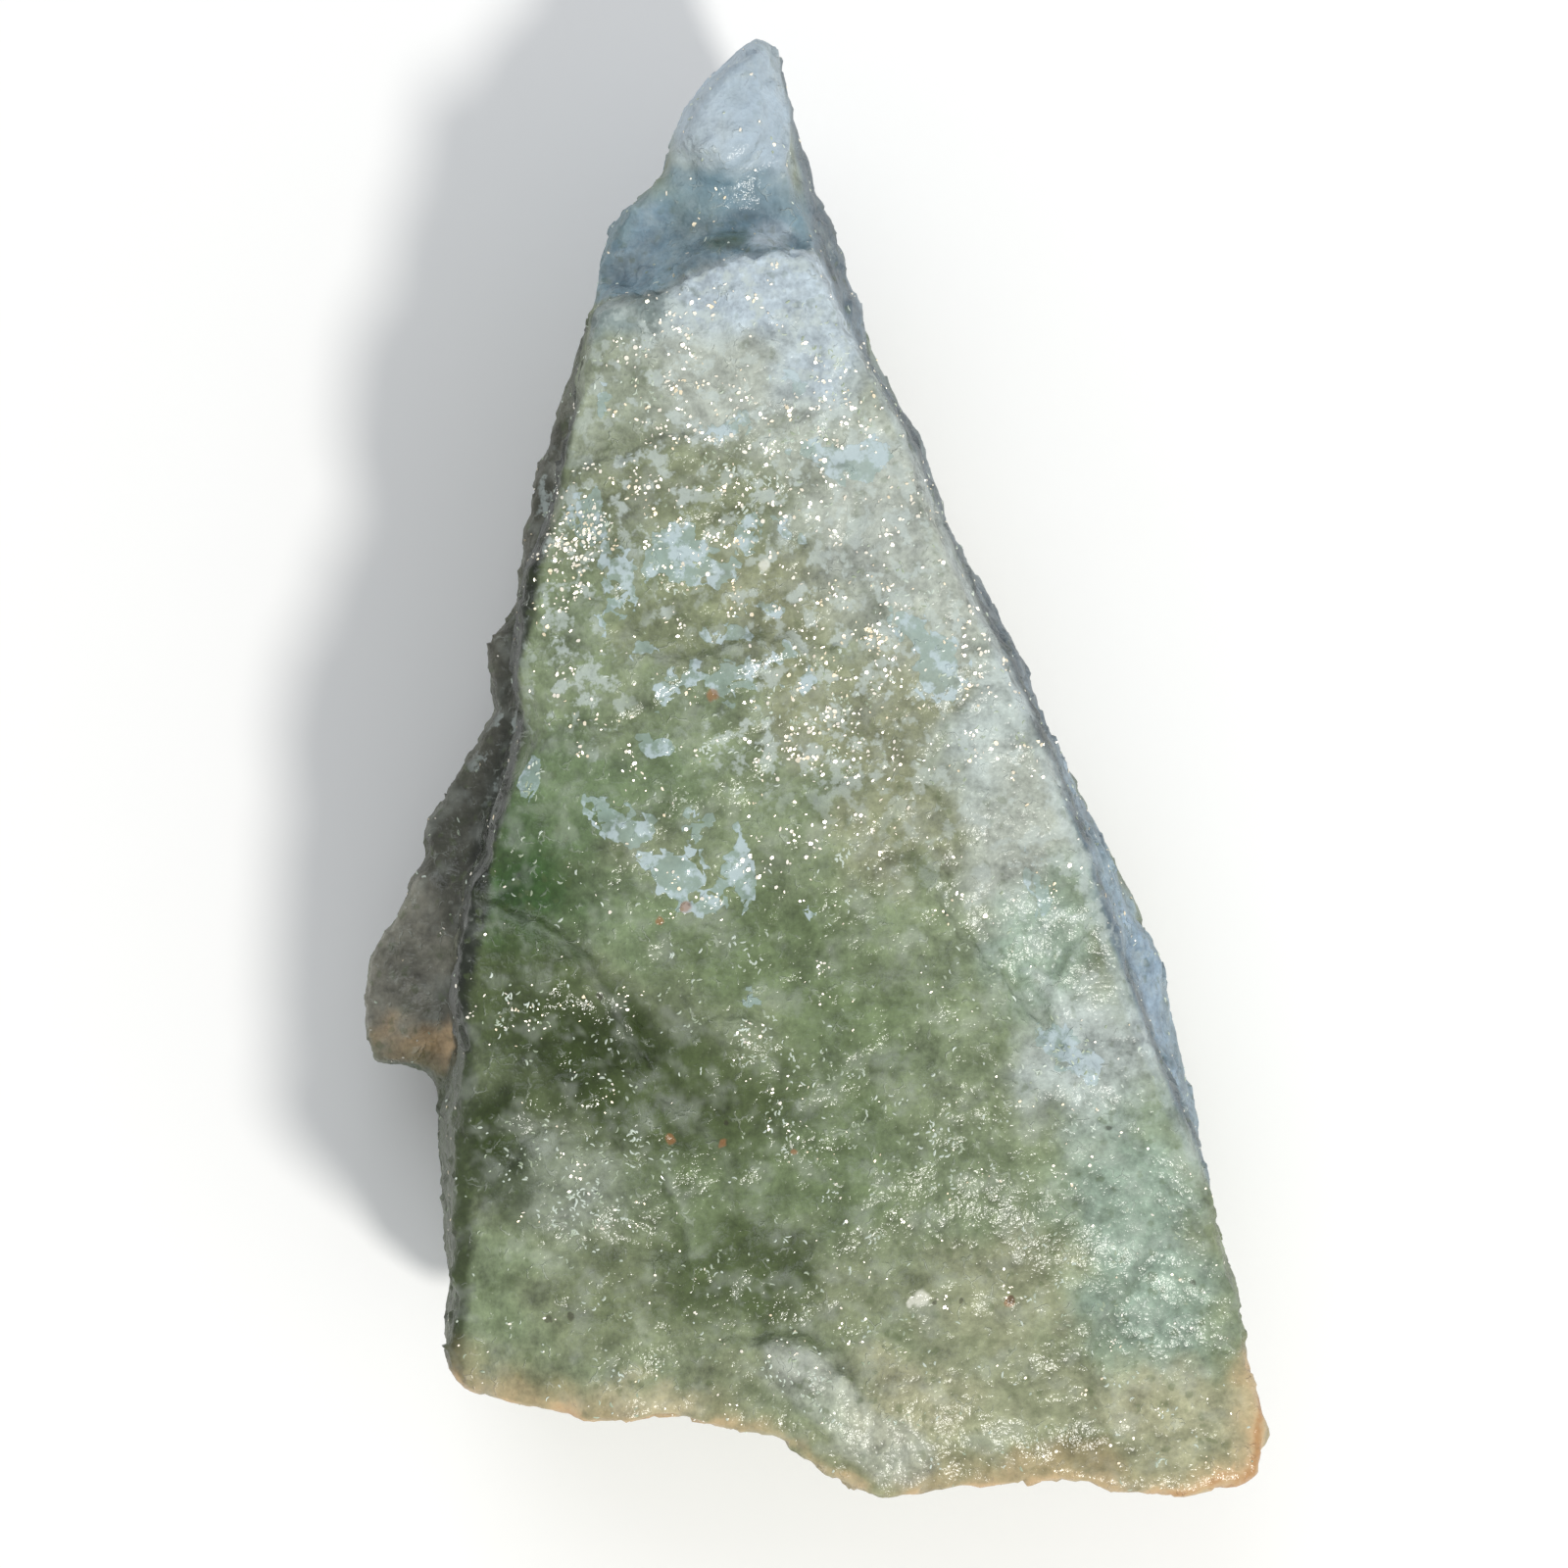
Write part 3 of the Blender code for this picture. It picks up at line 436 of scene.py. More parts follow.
class AventurineColours(bpy.types.PropertyGroup):
    ground: colour_property("Ground", "Grey green of the sound quartz", 134, 145, 114)
    # Milk: partly the quartz's own bluish white, partly painted light: sky light on the spire, and painted highlights
    # along the face's top rim, its right edge and in the cleavage flats
    milk_and_highlight: colour_property("Milk", "Bluish white of the spire and the top of the face", 197, 212, 222)
    pale: colour_property("Pale", "Bluish white green along the right edge", 188, 199, 195)
    # Haze: mostly the quartz's own whitish green, also painted highlight on the upper rims of the steps
    haze_and_highlight: colour_property("Haze", "Whitish green of the right half", 186, 193, 184)
    sage: colour_property("Sage", "Pale grey green of the upper left", 158, 167, 146)
    khaki: colour_property("Khaki", "Pale yellow green", 151, 155, 125)
    olive: colour_property("Olive", "Yellow green of the middle", 135, 143, 112)
    meadow: colour_property("Meadow", "Clear green of the left half", 131, 146, 113)
    fern: colour_property("Fern", "Cool green under the middle", 111, 131, 95)
    leaf: colour_property("Leaf", "Darker green of the lower middle", 112, 129, 92)
    # Moss: mostly the quartz's own dark green, also painted shade at the feet of the steps and low on the steep left
    # wall
    moss_and_shade: colour_property("Moss", "Dark green of the lower left", 80, 94, 57)
    deep_moss: colour_property("Deep moss", "Darkest green, in the hollows", 54, 68, 30)
    deep_green: colour_property("Deep green", "Saturated green of the left edge", 62, 93, 48)
    mint: colour_property("Mint", "Light green of the lower right", 152, 173, 157)
    teal_grey: colour_property("Teal grey", "Grey blue green at the top left corner of the face", 136, 151, 150)
    # Teal shade: painted shade, the blue green of the recessed neck in shade
    teal_painted_shade: colour_property("Teal shade", "Blue green of the recessed neck", 124, 151, 165)
    # Film: a painted reflection of the sky on the smooth cleavage flats
    film_and_sky_reflection: colour_property("Film", "Blue white of the smooth cleavage flats", 147, 168, 164)
    ash: colour_property("Ash", "Grey white of the flaky patch", 130, 140, 119)
    pearl: colour_property("Pearl", "White of the chip by the foot", 178, 185, 166)
    straw: colour_property("Straw", "Pale straw of the foot", 176, 175, 143)
    peach: colour_property("Peach", "Soft iron stain above the foot's edge", 200, 172, 133)
    rust: colour_property("Rust", "Iron stain on the foot's very edge", 168, 122, 76)
    # Sky: painted light, the blue of sky light on the right flank, the spire and the neck
    painted_sky_light: colour_property("Sky", "Lavender blue of the right flank", 152, 176, 197)
    # Steel: painted shade on the upper right flank beside the upper face
    painted_flank_shade: colour_property("Steel", "Grey blue of the right flank beside the upper face", 88, 100, 106)
    # Slate: partly the ledge's own dull grey, partly painted shade over it
    slate_and_painted_shade: colour_property("Slate", "Dull grey of the lower ledge", 142, 140, 126)
    # Painted shade: nearly black green where the steep left wall, the gap by the ledge, the ledge along the wall and a
    # line outside the right edge lie in shade
    painted_shade: colour_property("Shade", "Nearly black green of the steep left wall", 38, 44, 33)


class AventurineStage(bpy.types.PropertyGroup):
    floor: colour_property("Floor", "Plain pale floor", 243, 243, 243)
    key_power: FloatProperty(name="Key power", description="Main light", unit="POWER", default=7.5)
    fill_power: FloatProperty(name="Fill power", description="Cool light from the far side", unit="POWER", default=3.0)
    room_light: FloatProperty(name="Room light", description="Even light from all round", default=0.6)
    camera_height: FloatProperty(
        name="Camera height", description="Height of the camera over the floor", unit="LENGTH", default=0.6
    )


class Value:
    """A number in a material that may change over the surface. Arithmetic on it adds Math nodes."""

    def __init__(self, recipe, socket):
        self.recipe, self.socket = recipe, socket

    def math(self, operation, *values, clamp=False):
        settings = {"operation": operation, "use_clamp": clamp}
        made = self.recipe.node("ShaderNodeMath", settings, dict(enumerate(values)))
        return Value(self.recipe, made.outputs[0])

    def __add__(self, other):
        return self.math("ADD", self, other)

    def __sub__(self, other):
        return self.math("SUBTRACT", self, other)

    def __rsub__(self, other):
        return self.math("SUBTRACT", other, self)

    def __mul__(self, other):
        return self.math("MULTIPLY", self, other)

    __radd__ = __add__
    __rmul__ = __mul__

    def clamped(self):
        return self.math("ADD", self, 0.0, clamp=True)

    def eased(self, start, end):
        """0 at the start and 1 at the end, with soft corners. The start may be the greater."""
        settings = {"interpolation_type": "SMOOTHSTEP", "clamp": False}
        flip = start > end
        low, high = sorted((start, end))
        made = self.recipe.node("ShaderNodeMapRange", settings, {"Value": self, "From Min": low, "From Max": high})
        rise = Value(self.recipe, made.outputs["Result"])
        return 1.0 - rise if flip else rise


class Recipe:
    """The node tree of one material, written down step by step."""

    def __init__(self, name):
        self.material = bpy.data.materials.new(name)
        self.material.use_nodes = True
        self.tree = self.material.node_tree
        self.shader = self.tree.nodes["Principled BSDF"]

    def node(self, kind, settings=None, sockets=None):
        """Adds a node: its settings first, then the value or the link of each socket, by name or by place."""
        made = self.tree.nodes.new(kind)
        for setting, value in (settings or {}).items():
            setattr(made, setting, value)
        for place, value in (sockets or {}).items():
            self.feed(made.inputs[place], value)
        return made

    def feed(self, socket, value):
        if isinstance(value, Value):
            value = value.socket
        if isinstance(value, bpy.types.NodeSocket):
            self.tree.links.new(value, socket)
        else:
            socket.default_value = value

    def vector(self, operation, *values, scale=None):
        sockets = dict(enumerate(values))
        if scale is not None:
            sockets["Scale"] = scale
        made = self.node("ShaderNodeVectorMath", {"operation": operation}, sockets)
        return made.outputs["Vector"]

    def distance(self, first, second):
        made = self.node("ShaderNodeVectorMath", {"operation": "DISTANCE"}, {0: first, 1: second})
        return Value(self, made.outputs["Value"])

    def mix(self, share, first, second):
        """A blend of two colours: the first where the share is 0, and the second where it is 1."""
        return self.node("ShaderNodeMix", {"data_type": "RGBA"}, {0: share, 6: first, 7: second}).outputs[2]

    def place(self):
        """The place on the piece, in millimetres."""
        spot = self.node("ShaderNodeTexCoord").outputs["Object"]
        return self.vector("SCALE", spot, scale=1.0 / MM)

    def finished(self, sockets):
        """The material, once its shader has these values or links."""
        for name, value in sockets.items():
            self.feed(self.shader.inputs[name], value)
        return self.material

    def cloud(self, place, pitch, detail=3.0, rough=0.55, shift=(0.0, 0.0, 0.0)):
        """Smooth noise about 0 to 1, its lumps as far apart as the pitch in millimetres."""
        moved = self.vector("ADD", place, shift)
        made = self.node(
            "ShaderNodeTexNoise",
            {"noise_dimensions": "3D"},
            {"Vector": moved, "Scale": 1.0 / pitch, "Detail": detail, "Roughness": rough},
        )
        return Value(self, made.outputs["Fac"])

    def cells(self, place, pitch, feature="F1"):
        return self.node(
            "ShaderNodeTexVoronoi",
            {"voronoi_dimensions": "3D", "feature": feature},
            {"Vector": place, "Scale": 1.0 / pitch},
        )

    def split(self, socket):
        """The three parts of a vector or a colour."""
        made = self.node("ShaderNodeSeparateXYZ", None, {0: socket})
        return [Value(self, part) for part in made.outputs]

    def carried(self, name):
        """What the mesh itself carries under this name."""
        return self.node("ShaderNodeAttribute", {"attribute_name": name})


def quartz(colours):
    """Green mica quartz. The skin carries its broad tint, with painted shade and painted light in it, and where its
    films, stains and veils lie. The rest is here: clouds, green grains, crisp cleavage flats with a painted reflection
    of the sky, iron specks and glassy relief."""
    recipe = Recipe("green_mica_quartz")
    cloud, mix, split = recipe.cloud, recipe.mix, recipe.split
    place = recipe.place()
    face_up = split(recipe.node("ShaderNodeNewGeometry").outputs["True Normal"])[2].eased(0.3, 0.6)
    drift = recipe.node("ShaderNodeTexNoise", None, {"Vector": place, "Scale": 1 / DRIFT_PITCH, "Detail": 2.0})
    drift = recipe.vector("SUBTRACT", drift.outputs["Color"], (0.5, 0.5, 0.5))
    colour = recipe.carried("tint").outputs["Color"]
    brightness = split(colour)[1]
    film_field, stain_field, veil_field = split(recipe.carried("marks").outputs["Vector"])

    # Soft clouds inside the quartz, small darker grains in it, and pale threads where grains broke
    clouds = cloud(place, CLOUD_PITCH, 2.0, 0.5)
    wisps = cloud(place, WISP_PITCH, 2.0, 0.5, (7.0, 3.0, 1.0))
    bent = recipe.vector("MULTIPLY_ADD", drift, (1.1, 1.1, 1.1), place)
    grains = recipe.cells(bent, GRAIN_PITCH)
    grain = split(grains.outputs["Color"])[0].eased(0.6, 0.75)
    grain = grain * Value(recipe, grains.outputs["Distance"]).eased(0.42, 0.22)
    seams = recipe.cells(bent, SEAM_PITCH, "DISTANCE_TO_EDGE")
    thread = Value(recipe, seams.outputs["Distance"]).eased(0.07, 0.02) * wisps.eased(0.54, 0.68)
    sugar = cloud(place, SUGAR_PITCH, 2.0, 0.6, (1.0, 6.0, 2.0))
    # The spire and the neck are more even than the face
    lively = split(place)[1].eased(43.0, 37.0) * 0.6 + 0.4
    depth = 0.8 + ((clouds - 0.5) * 0.95 + (wisps - 0.5) * 0.8 + (sugar - 0.5) * 0.6) * lively
    colour = recipe.vector("SCALE", colour, scale=depth)
    colour = mix(grain * (0.4 - veil_field * 0.2) * lively, colour, tuple(colours.moss_and_shade))
    colour = mix(thread * 0.25, colour, tuple(colours.haze_and_highlight))
    murk = cloud(place, MURK_PITCH, 2.0, 0.55, (4.0, 9.0, 0.0))
    colour = mix(murk.eased(0.5, 0.7) * (face_up * 0.14 + 0.06), colour, tuple(colours.haze_and_highlight))
    colour = mix(murk.eased(0.48, 0.3) * (1.0 - veil_field) * lively * 0.27, colour, tuple(colours.deep_moss))

    # White veils, thick on the upper and the right side
    veil = cloud(place, VEIL_PITCH, 4.0, 0.6, (0.0, 11.0, 0.0))
    colour = mix(veil.eased(0.51, 0.6) * veil_field * 0.65, colour, tuple(colours.pale))

    # Smooth cleavage flats with crisp edges, their blue white a painted reflection of the sky
    flake = (split(grains.outputs["Color"])[1] - 0.5) * 0.6
    film_and_sky_reflection = (film_field + split(drift)[0] * 0.4 + flake).eased(0.52, 0.56)
    colour = mix(film_and_sky_reflection * (clouds * 0.9 + wisps * 0.5 - 0.1).clamped(), colour, tuple(colours.film_and_sky_reflection))
    colour = mix(film_and_sky_reflection * veil.eased(0.47, 0.58) * 0.5, colour, tuple(colours.milk_and_highlight))

    # Iron stain, paler inwards, and the single specks
    stain = (stain_field * (0.4 + wisps * 0.9 + sugar * 0.3)).clamped()
    colour = mix(stain.eased(0.02, 0.7) * 0.85, colour, tuple(colours.peach))
    colour = mix(stain.eased(0.55, 1.05) * 0.7, colour, tuple(colours.rust))
    near = recipe.vector("MULTIPLY_ADD", drift, (0.7, 0.7, 0.0), recipe.vector("MULTIPLY", place, (1, 1, 0)))
    for specks, speck_colour in (
        (RUST_SPECKS, tone(150, 100, 62)),
        (WHITE_SPECKS, tone(226, 226, 214)),
        (DARK_SPECKS, tone(50, 46, 36)),
    ):
        for x, y, reach in specks:
            speck = recipe.distance(near, (x, y, 0.0)).eased(reach * 1.1, reach * 0.6)
            colour = mix(speck * face_up * 0.6, colour, speck_colour)

    # Glassy relief below the size of the skin's own points
    relief = wisps * 0.2 + sugar * (0.085 - film_and_sky_reflection * 0.055) + thread * 0.06 + film_and_sky_reflection * 0.05
    bump = recipe.node("ShaderNodeBump", None, {"Height": relief, "Distance": MM, "Strength": 1.0})

    roughness = 0.09 + brightness * 0.25 + sugar * 0.1 - film_and_sky_reflection * 0.06 + (1.0 - face_up) * 0.25
    return recipe.finished(
        {
            "Base Color": colour,
            "Roughness": roughness.clamped(),
            "Normal": bump.outputs["Normal"],
            "IOR": QUARTZ_IOR,
            "Specular IOR Level": 0.36,
        }
    )


def mica_finish(colour):
    """Bright pale flakes, some of them a little golden."""
    recipe = Recipe("mica_flake")
    place = recipe.place()
    warm = recipe.cloud(place, 2.4, 2.0).eased(0.5, 0.62)
    return recipe.finished(
        {
            "Base Color": recipe.mix(warm * 0.5, tuple(colour), tone(250, 226, 176)),
            "Roughness": 0.26 + recipe.cloud(place, 1.1, 2.0) * 0.2,
            "Metallic": 0.55,
        }
    )


def link(made):
    bpy.context.scene.collection.objects.link(made)
    return made


def dress(piece, material):
    """Gives a finished piece its material and its place on the stone's body."""
    piece.data.materials.clear()
    piece.data.materials.append(material)
    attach(piece, "root")


def points_of(mesh):
    """The places of a mesh's points, one row each."""
    flat = np.empty(len(mesh.vertices) * 3, np.float32)
    mesh.vertices.foreach_get("co", flat)
    return flat.reshape(-1, 3).astype(float)


def fine_copy(node, shape):
    """A copy of the solid's mesh with evenly spaced points, its facets evened out."""
    welded = bmesh.new()
    welded.from_mesh(node.data)
    bmesh.ops.remove_doubles(welded, verts=welded.verts, dist=1e-3 * MM)
    mesh = bpy.data.meshes.new("coarse_skin")
    welded.to_mesh(mesh)
    welded.free()
    coarse = link(bpy.data.objects.new("coarse_skin", mesh))
    remesh = coarse.modifiers.new("even_points", "REMESH")
    remesh.mode = "VOXEL"
    remesh.voxel_size = shape.pitch
    soften = coarse.modifiers.new("soften", "SMOOTH")
    soften.factor = 0.5
    soften.iterations = shape.soften_rounds
    skin_mesh = bpy.data.meshes.new_from_object(coarse.evaluated_get(bpy.context.evaluated_depsgraph_get()))
    bpy.data.objects.remove(coarse)
    return skin_mesh


def smooth_step(values, start, end):
    """0 at the start and 1 at the end, with soft corners, for many numbers at once."""
    share = np.clip((values - start) / (end - start), 0.0, 1.0)
    return share * share * (3.0 - 2.0 * share)


def from_line(spots, line):
    """The distance of each spot from a line of points, and the same with a minus sign on the line's right hand."""
    best = np.full(len(spots), 1e9)
    signed = np.zeros(len(spots))
    for start, end in zip(line, line[1:]):
        start, run = np.array(start), np.subtract(end, start)
        share = np.clip((spots - start) @ run / (run @ run), 0.0, 1.0)
        away = spots - start - share[:, None] * run
        distance = np.hypot(*away.T)
        side = run[0] * (spots[:, 1] - start[1]) - run[1] * (spots[:, 0] - start[0])
        closer = distance < best
        best = np.where(closer, distance, best)
        signed = np.where(closer, np.sign(side) * distance, signed)
    return best, signed


def drift_at(points, pitch):
    """A smooth random vector for each point."""
    return np.array([noise.noise_vector(Vector(point) / pitch) for point in points])


def face_relief(points):
    """Height in millimetres that the hollows, rises, steps and cracks add to the broad face."""
    spots = points[:, :2]
    height = np.zeros(len(points))
    wobble = drift_at(points, WOBBLE_PITCH)[:, :2]
    ragged = spots + wobble * 0.7
    for x, y, reach_x, reach_y, turn, rise in RELIEF:
        height += rise * oval(ragged, x, y, reach_x, reach_y, turn, 0.0, 1.4)
    for line, drop, reach in STEPS:
        distance, signed = from_line(ragged, line)
        side = signed * np.sign(drop)
        height -= abs(drop) * smooth_step(side, -0.25, 0.25) * np.exp(-((distance / reach) ** 2))
    for outline, _name, _strength, rise in CHIPS:
        height += rise * smooth_step(inside(spots + wobble * 0.5, outline), -0.15, 0.3)
    for line in CRACKS:
        distance, _ = from_line(spots + wobble * 0.25, line)
        height -= CRACK_DEPTH * smooth_step(distance, CRACK_WIDTH, 0.0)
    return height


def broken_relief(points, shape):
    """Height in millimetres of the swells, the grains and the small flats that cover the whole stone."""
    height = np.zeros(len(points))
    turns = {}
    for index, point in enumerate(points):
        point = Vector(point)
        swell = noise.fractal(point / SWELL_PITCH, 1.0, 2.1, 3)
        grain = noise.fractal(point / SUGARY_PITCH, 0.8, 2.1, 2)
        flat = noise.voronoi(point / FLAKE_PITCH)[1][0]
        key = tuple(round(c, 3) for c in flat)
        if key not in turns:
            turns[key] = Vector(noise.cell_vector(flat * 7.3)) - Vector((0.5, 0.5, 0.5))
        slope = turns[key].dot(point - flat * FLAKE_PITCH) * 2.0
        height[index] = (swell * shape.swell_height + grain * shape.grain_height) / MM + slope * shape.flake_tilt
    return height


def fitted(points, low, high):
    """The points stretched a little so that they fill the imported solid's box again."""
    own_low, own_high = points.min(0), points.max(0)
    return (points - own_low) / (own_high - own_low) * (high - low) + low


def drawn(points):
    """The points moved a little across the outline, most at its edge."""
    x, y = points[:, 0], points[:, 1]
    rows = np.round(y - y.min()).astype(int)
    low = np.full(rows.max() + 1, np.inf)
    high = np.full(rows.max() + 1, -np.inf)
    np.minimum.at(low, rows, x)
    np.maximum.at(high, rows, x)
    levels = y.min() + np.arange(len(low))
    left, right = np.interp(y, levels, low), np.interp(y, levels, high)
    share = np.clip((x - left) / (right - left), 0.0, 1.0)
    table = np.array(OUTLINE_DRAW)[::-1]
    moved = points.copy()
    moved[:, 0] += np.interp(y, table[:, 0], table[:, 1]) * (1.0 - share) ** 2
    moved[:, 0] += np.interp(y, table[:, 0], table[:, 2]) * share**2
    foot = np.array(FOOT_DRAW)
    moved[:, 1] -= np.interp(x, foot[:, 0], foot[:, 1]) * smooth_step(y, -46.0, -53.0)
    return moved


def oval(spots, x, y, reach_x, reach_y, turn=0.0, inner=0.45, outer=1.25):
    """1 inside an oval patch and 0 outside it, with a soft edge."""
    angle = math.radians(turn)
    away = spots - (x, y)
    u = away[:, 0] * math.cos(angle) + away[:, 1] * math.sin(angle)
    v = away[:, 1] * math.cos(angle) - away[:, 0] * math.sin(angle)
    return smooth_step(np.hypot(u / reach_x, v / reach_y), outer, inner)


def broad_normals(mesh, rounds=10):
    """The normals of the skin with its small relief evened out."""
    count = len(mesh.vertices)
    normals = np.empty(count * 3, np.float32)
    mesh.vertex_normals.foreach_get("vector", normals)
    normals = normals.reshape(-1, 3).astype(float)
    edges = np.empty(len(mesh.edges) * 2, np.int32)
    mesh.edges.foreach_get("vertices", edges)
    left, right = edges.reshape(-1, 2).T
    for _ in range(rounds):
        total = np.stack(
            [
                np.bincount(left, normals[right, axis], count) + np.bincount(right, normals[left, axis], count)
                for axis in range(3)
            ],
            1,
        )
        total += normals
        normals = total / np.maximum(np.linalg.norm(total, axis=1), 1e-9)[:, None]
    return normals


def inside(spots, outline):
    """How far each spot lies inside a closed outline, and less than nothing outside it."""
    ring = (*outline, outline[0])
    distance, _ = from_line(spots, ring)
    crossings = np.zeros(len(spots), bool)
    for (x0, y0), (x1, y1) in zip(ring, ring[1:]):
        beside = (spots[:, 1] < y0) != (spots[:, 1] < y1)
        crossings ^= beside & (spots[:, 0] < x0 + (spots[:, 1] - y0) * (x1 - x0) / ((y1 - y0) or 1.0))
    return np.where(crossings, distance, -distance)


def edge_distances(x, y, fray):
    """How far each point lies beyond the left, the right and the top edge of the broad face."""
    left, right, top = (np.array(line) for line in (LEFT_EDGE, RIGHT_EDGE, TOP_EDGE))
    beyond_left = np.interp(-y, -left[:, 1], left[:, 0]) - x + fray
    beyond_right = x - np.interp(-y, -right[:, 1], right[:, 0]) + fray
    beyond_top = y - np.interp(x, top[:, 0], top[:, 1]) + fray
    return beyond_left, beyond_right, beyond_top


def tint_of(points, normals, colours):
    """The broad tint of each point, with painted shade and painted light in it, and where the cleavage flats with
    their painted reflection of the sky, the iron stain and the white veils lie.
    """
    spots = points[:, :2]
    x, y, z = points.T
    up = smooth_step(normals[:, 2], 0.5, 0.75)
    in_view = smooth_step(normals[:, 2], 0.1, 0.45)
    drift = drift_at(points, FRAY_PITCH) + drift_at(points, FRINGE_PITCH) * 0.4
    slow = drift_at(points, WANDER_PITCH)
    # The deeper a point lies down the sides, the further the face's patches wander there
    depth = np.clip(FACE_LEVEL - z, 0.0, FACE_LEVEL)[:, None]
    ragged = spots + drift[:, :2] * 2.2 + slow[:, :2] * depth * 0.5
    wander = (drift[:, 1] * 5.0 + slow[:, 1] * 7.0) * smooth_step(z, 27.0, 20.0) * (1.0 - 0.8 * in_view)
    low_down = smooth_step(z + slow[:, 2] * 16.0 + drift[:, 2] * 4.0, 16.0, 5.0) * smooth_step(y, 46.0, 40.0)
    beyond_left, beyond_right, beyond_top = edge_distances(x, y, drift[:, 0] * 0.35)
    tint = np.tile(np.array(colours.ground[:3]), (len(points), 1))

    def lay(share, name):
        nonlocal tint
        tint = tint + (np.array(getattr(colours, name)[:3]) - tint) * share[:, None]

    for x_mid, y_mid, reach_x, reach_y, turn, name, strength in PATCHES:
        lay(oval(ragged, x_mid, y_mid, reach_x, reach_y, turn) * strength, name)

    # Painted shade over the recessed neck, with its patches, some of them painted sky light, and a painted highlight
    # along the rim of the face below it
    on_neck = smooth_step(beyond_top, -0.2, 0.4) * smooth_step(y, 45.0, 42.0)
    on_neck *= 0.3 + 0.7 * smooth_step(z + drift[:, 2] * 8.0, 12.0, 20.0)
    lay(on_neck * 0.85, "teal_painted_shade")
    for x_mid, y_mid, reach_x, reach_y, turn, name, strength in NECK_PATCHES:
        lay(oval(spots + drift[:, :2] * 0.5, x_mid, y_mid, reach_x, reach_y, turn) * on_neck * strength, name)
    on_rim = smooth_step(beyond_top, 0.1, -0.5) * smooth_step(beyond_top, -5.5, -2.5)
    lay(on_rim * smooth_step(x, -12.0, -8.0), "milk_and_highlight")

    # Painted shade on the steep left wall, lighter lower down, the dull ledge with its stained end, and painted shade
    # in the gap between the ledge and the face
    on_ledge = smooth_step(z + wander, 19.0, 16.0) * smooth_step(x, -17.0, -20.0)
    on_ledge *= smooth_step(y + wander, -26.0, -21.0) * (0.3 + 0.7 * smooth_step(normals[:, 2], -0.3, 0.5))
    on_wall = smooth_step(beyond_left, -0.3, 0.5) * (1.0 - on_ledge) * smooth_step(y + wander * 2.0, 37.0, 31.0)
    lay(on_wall * (1.0 - 0.6 * low_down) * 0.95, "painted_shade")
    lay(on_wall * smooth_step(y + wander * 2.0, -18.0, -27.0) * 0.6, "moss_and_shade")
    # The ledge's grey is partly painted shade, and along the wall it takes the wall's painted shadow
    lay(on_ledge, "slate_and_painted_shade")
    lay(on_ledge * smooth_step(ragged[:, 0], -30.5, -27.0) * (0.7 - 0.15 * smooth_step(y, -2.0, 6.0)), "painted_shade")
    lay(on_ledge * smooth_step(y + drift[:, 0] * 2.0, -20.0, -22.2) * up * 0.95, "peach")
    in_gap = smooth_step(beyond_left, -0.1, 0.4) * smooth_step(beyond_left, 3.2, 2.0)
    in_gap *= smooth_step(y + wander * 2.0, -22.0, -17.0)
    lay(in_gap * smooth_step(y, 30.0, 20.0) * (1.0 - 0.8 * low_down) * 0.97, "painted_shade")

    # Painted sky light on the right flank, painted shade on it beside the upper face, and along the face's right edge
    # a painted highlight inside and painted shade outside
    on_flank = smooth_step(beyond_right, -0.2, 0.5) * smooth_step(y, -46.0, -34.0)
    on_flank *= 1.0 - 0.8 * low_down * (1.0 - in_view)
    lay(on_flank * (0.75 + 0.2 * in_view), "painted_sky_light")
    lay(on_flank * smooth_step(y + drift[:, 1] * 8.0, -6.0, 8.0) * 0.8, "painted_flank_shade")
    along_face = smooth_step(y, -34.0, -28.0) * smooth_step(y, 34.0, 28.0) * smooth_step(z, 18.0, 25.0)
    # A painted highlight just inside the right edge and painted shade just outside it
    lay(smooth_step(abs(beyond_right + 0.4), 0.7, 0.1) * along_face * 0.35, "milk_and_highlight")
    lay(smooth_step(abs(beyond_right - 0.6), 0.7, 0.1) * along_face * 0.6, "painted_shade")

    # Painted highlights on the upper rims and painted shade at the feet of the steps, and the chips
    for line, drop, _reach in STEPS[1:]:
        away, signed = from_line(spots + drift[:, :2] * 0.5, line)
        upper = smooth_step(signed * np.sign(drop), 0.15, -0.15)
        lay(smooth_step(away, 0.8, 0.2) * upper * up * abs(drop) * 0.25, "haze_and_highlight")
        lay(smooth_step(away, 0.8, 0.1) * (1.0 - upper) * up * abs(drop) * 0.6, "moss_and_shade")
    for outline, name, strength, _rise in CHIPS:
        lay(smooth_step(inside(spots + drift[:, :2] * 0.6, outline), -0.2, 0.5) * strength * up, name)

    # What the quartz itself reads: films, stain and veils
    film_and_sky_reflection = np.max([inside(spots, outline) for outline in FILMS], 0)
    film_and_sky_reflection = np.clip(0.5 + film_and_sky_reflection * 0.5, 0.0, 1.0) * up
    edge = np.array(FOOT_EDGE)
    distance, _ = from_line(spots + drift[:, :2] * 1.4, edge[:, :2])
    stain = smooth_step(distance, STAIN_REACH, 0.0) * 0.5 + smooth_step(distance, 1.0, 0.1) * 0.5
    stain *= np.interp(x, edge[:-2, 0], edge[:-2, 2]) * (0.25 + 0.75 * smooth_step(z, 14.0, 24.0))
    veils = smooth_step(y + x * 1.1, -12.0, 16.0) * 0.7
    for x_mid, y_mid, spread, _count in MICA_CLUSTERS:
        veils = np.maximum(veils, oval(ragged, x_mid, y_mid, spread * 1.3, spread * 1.3) * smooth_step(y, -9.0, 3.0))
    veils *= (1.0 - 0.85 * smooth_step(beyond_top, -0.5, 0.5)) * (0.1 + 0.9 * up)
    return tint, np.stack([film_and_sky_reflection, stain, veils], 1)


def carry(mesh, name, values):
    """Puts a vector on each point of a mesh for its material to read."""
    made = mesh.attributes.new(name, "FLOAT_VECTOR", "POINT")
    made.data.foreach_set("vector", values.astype(np.float32).ravel())


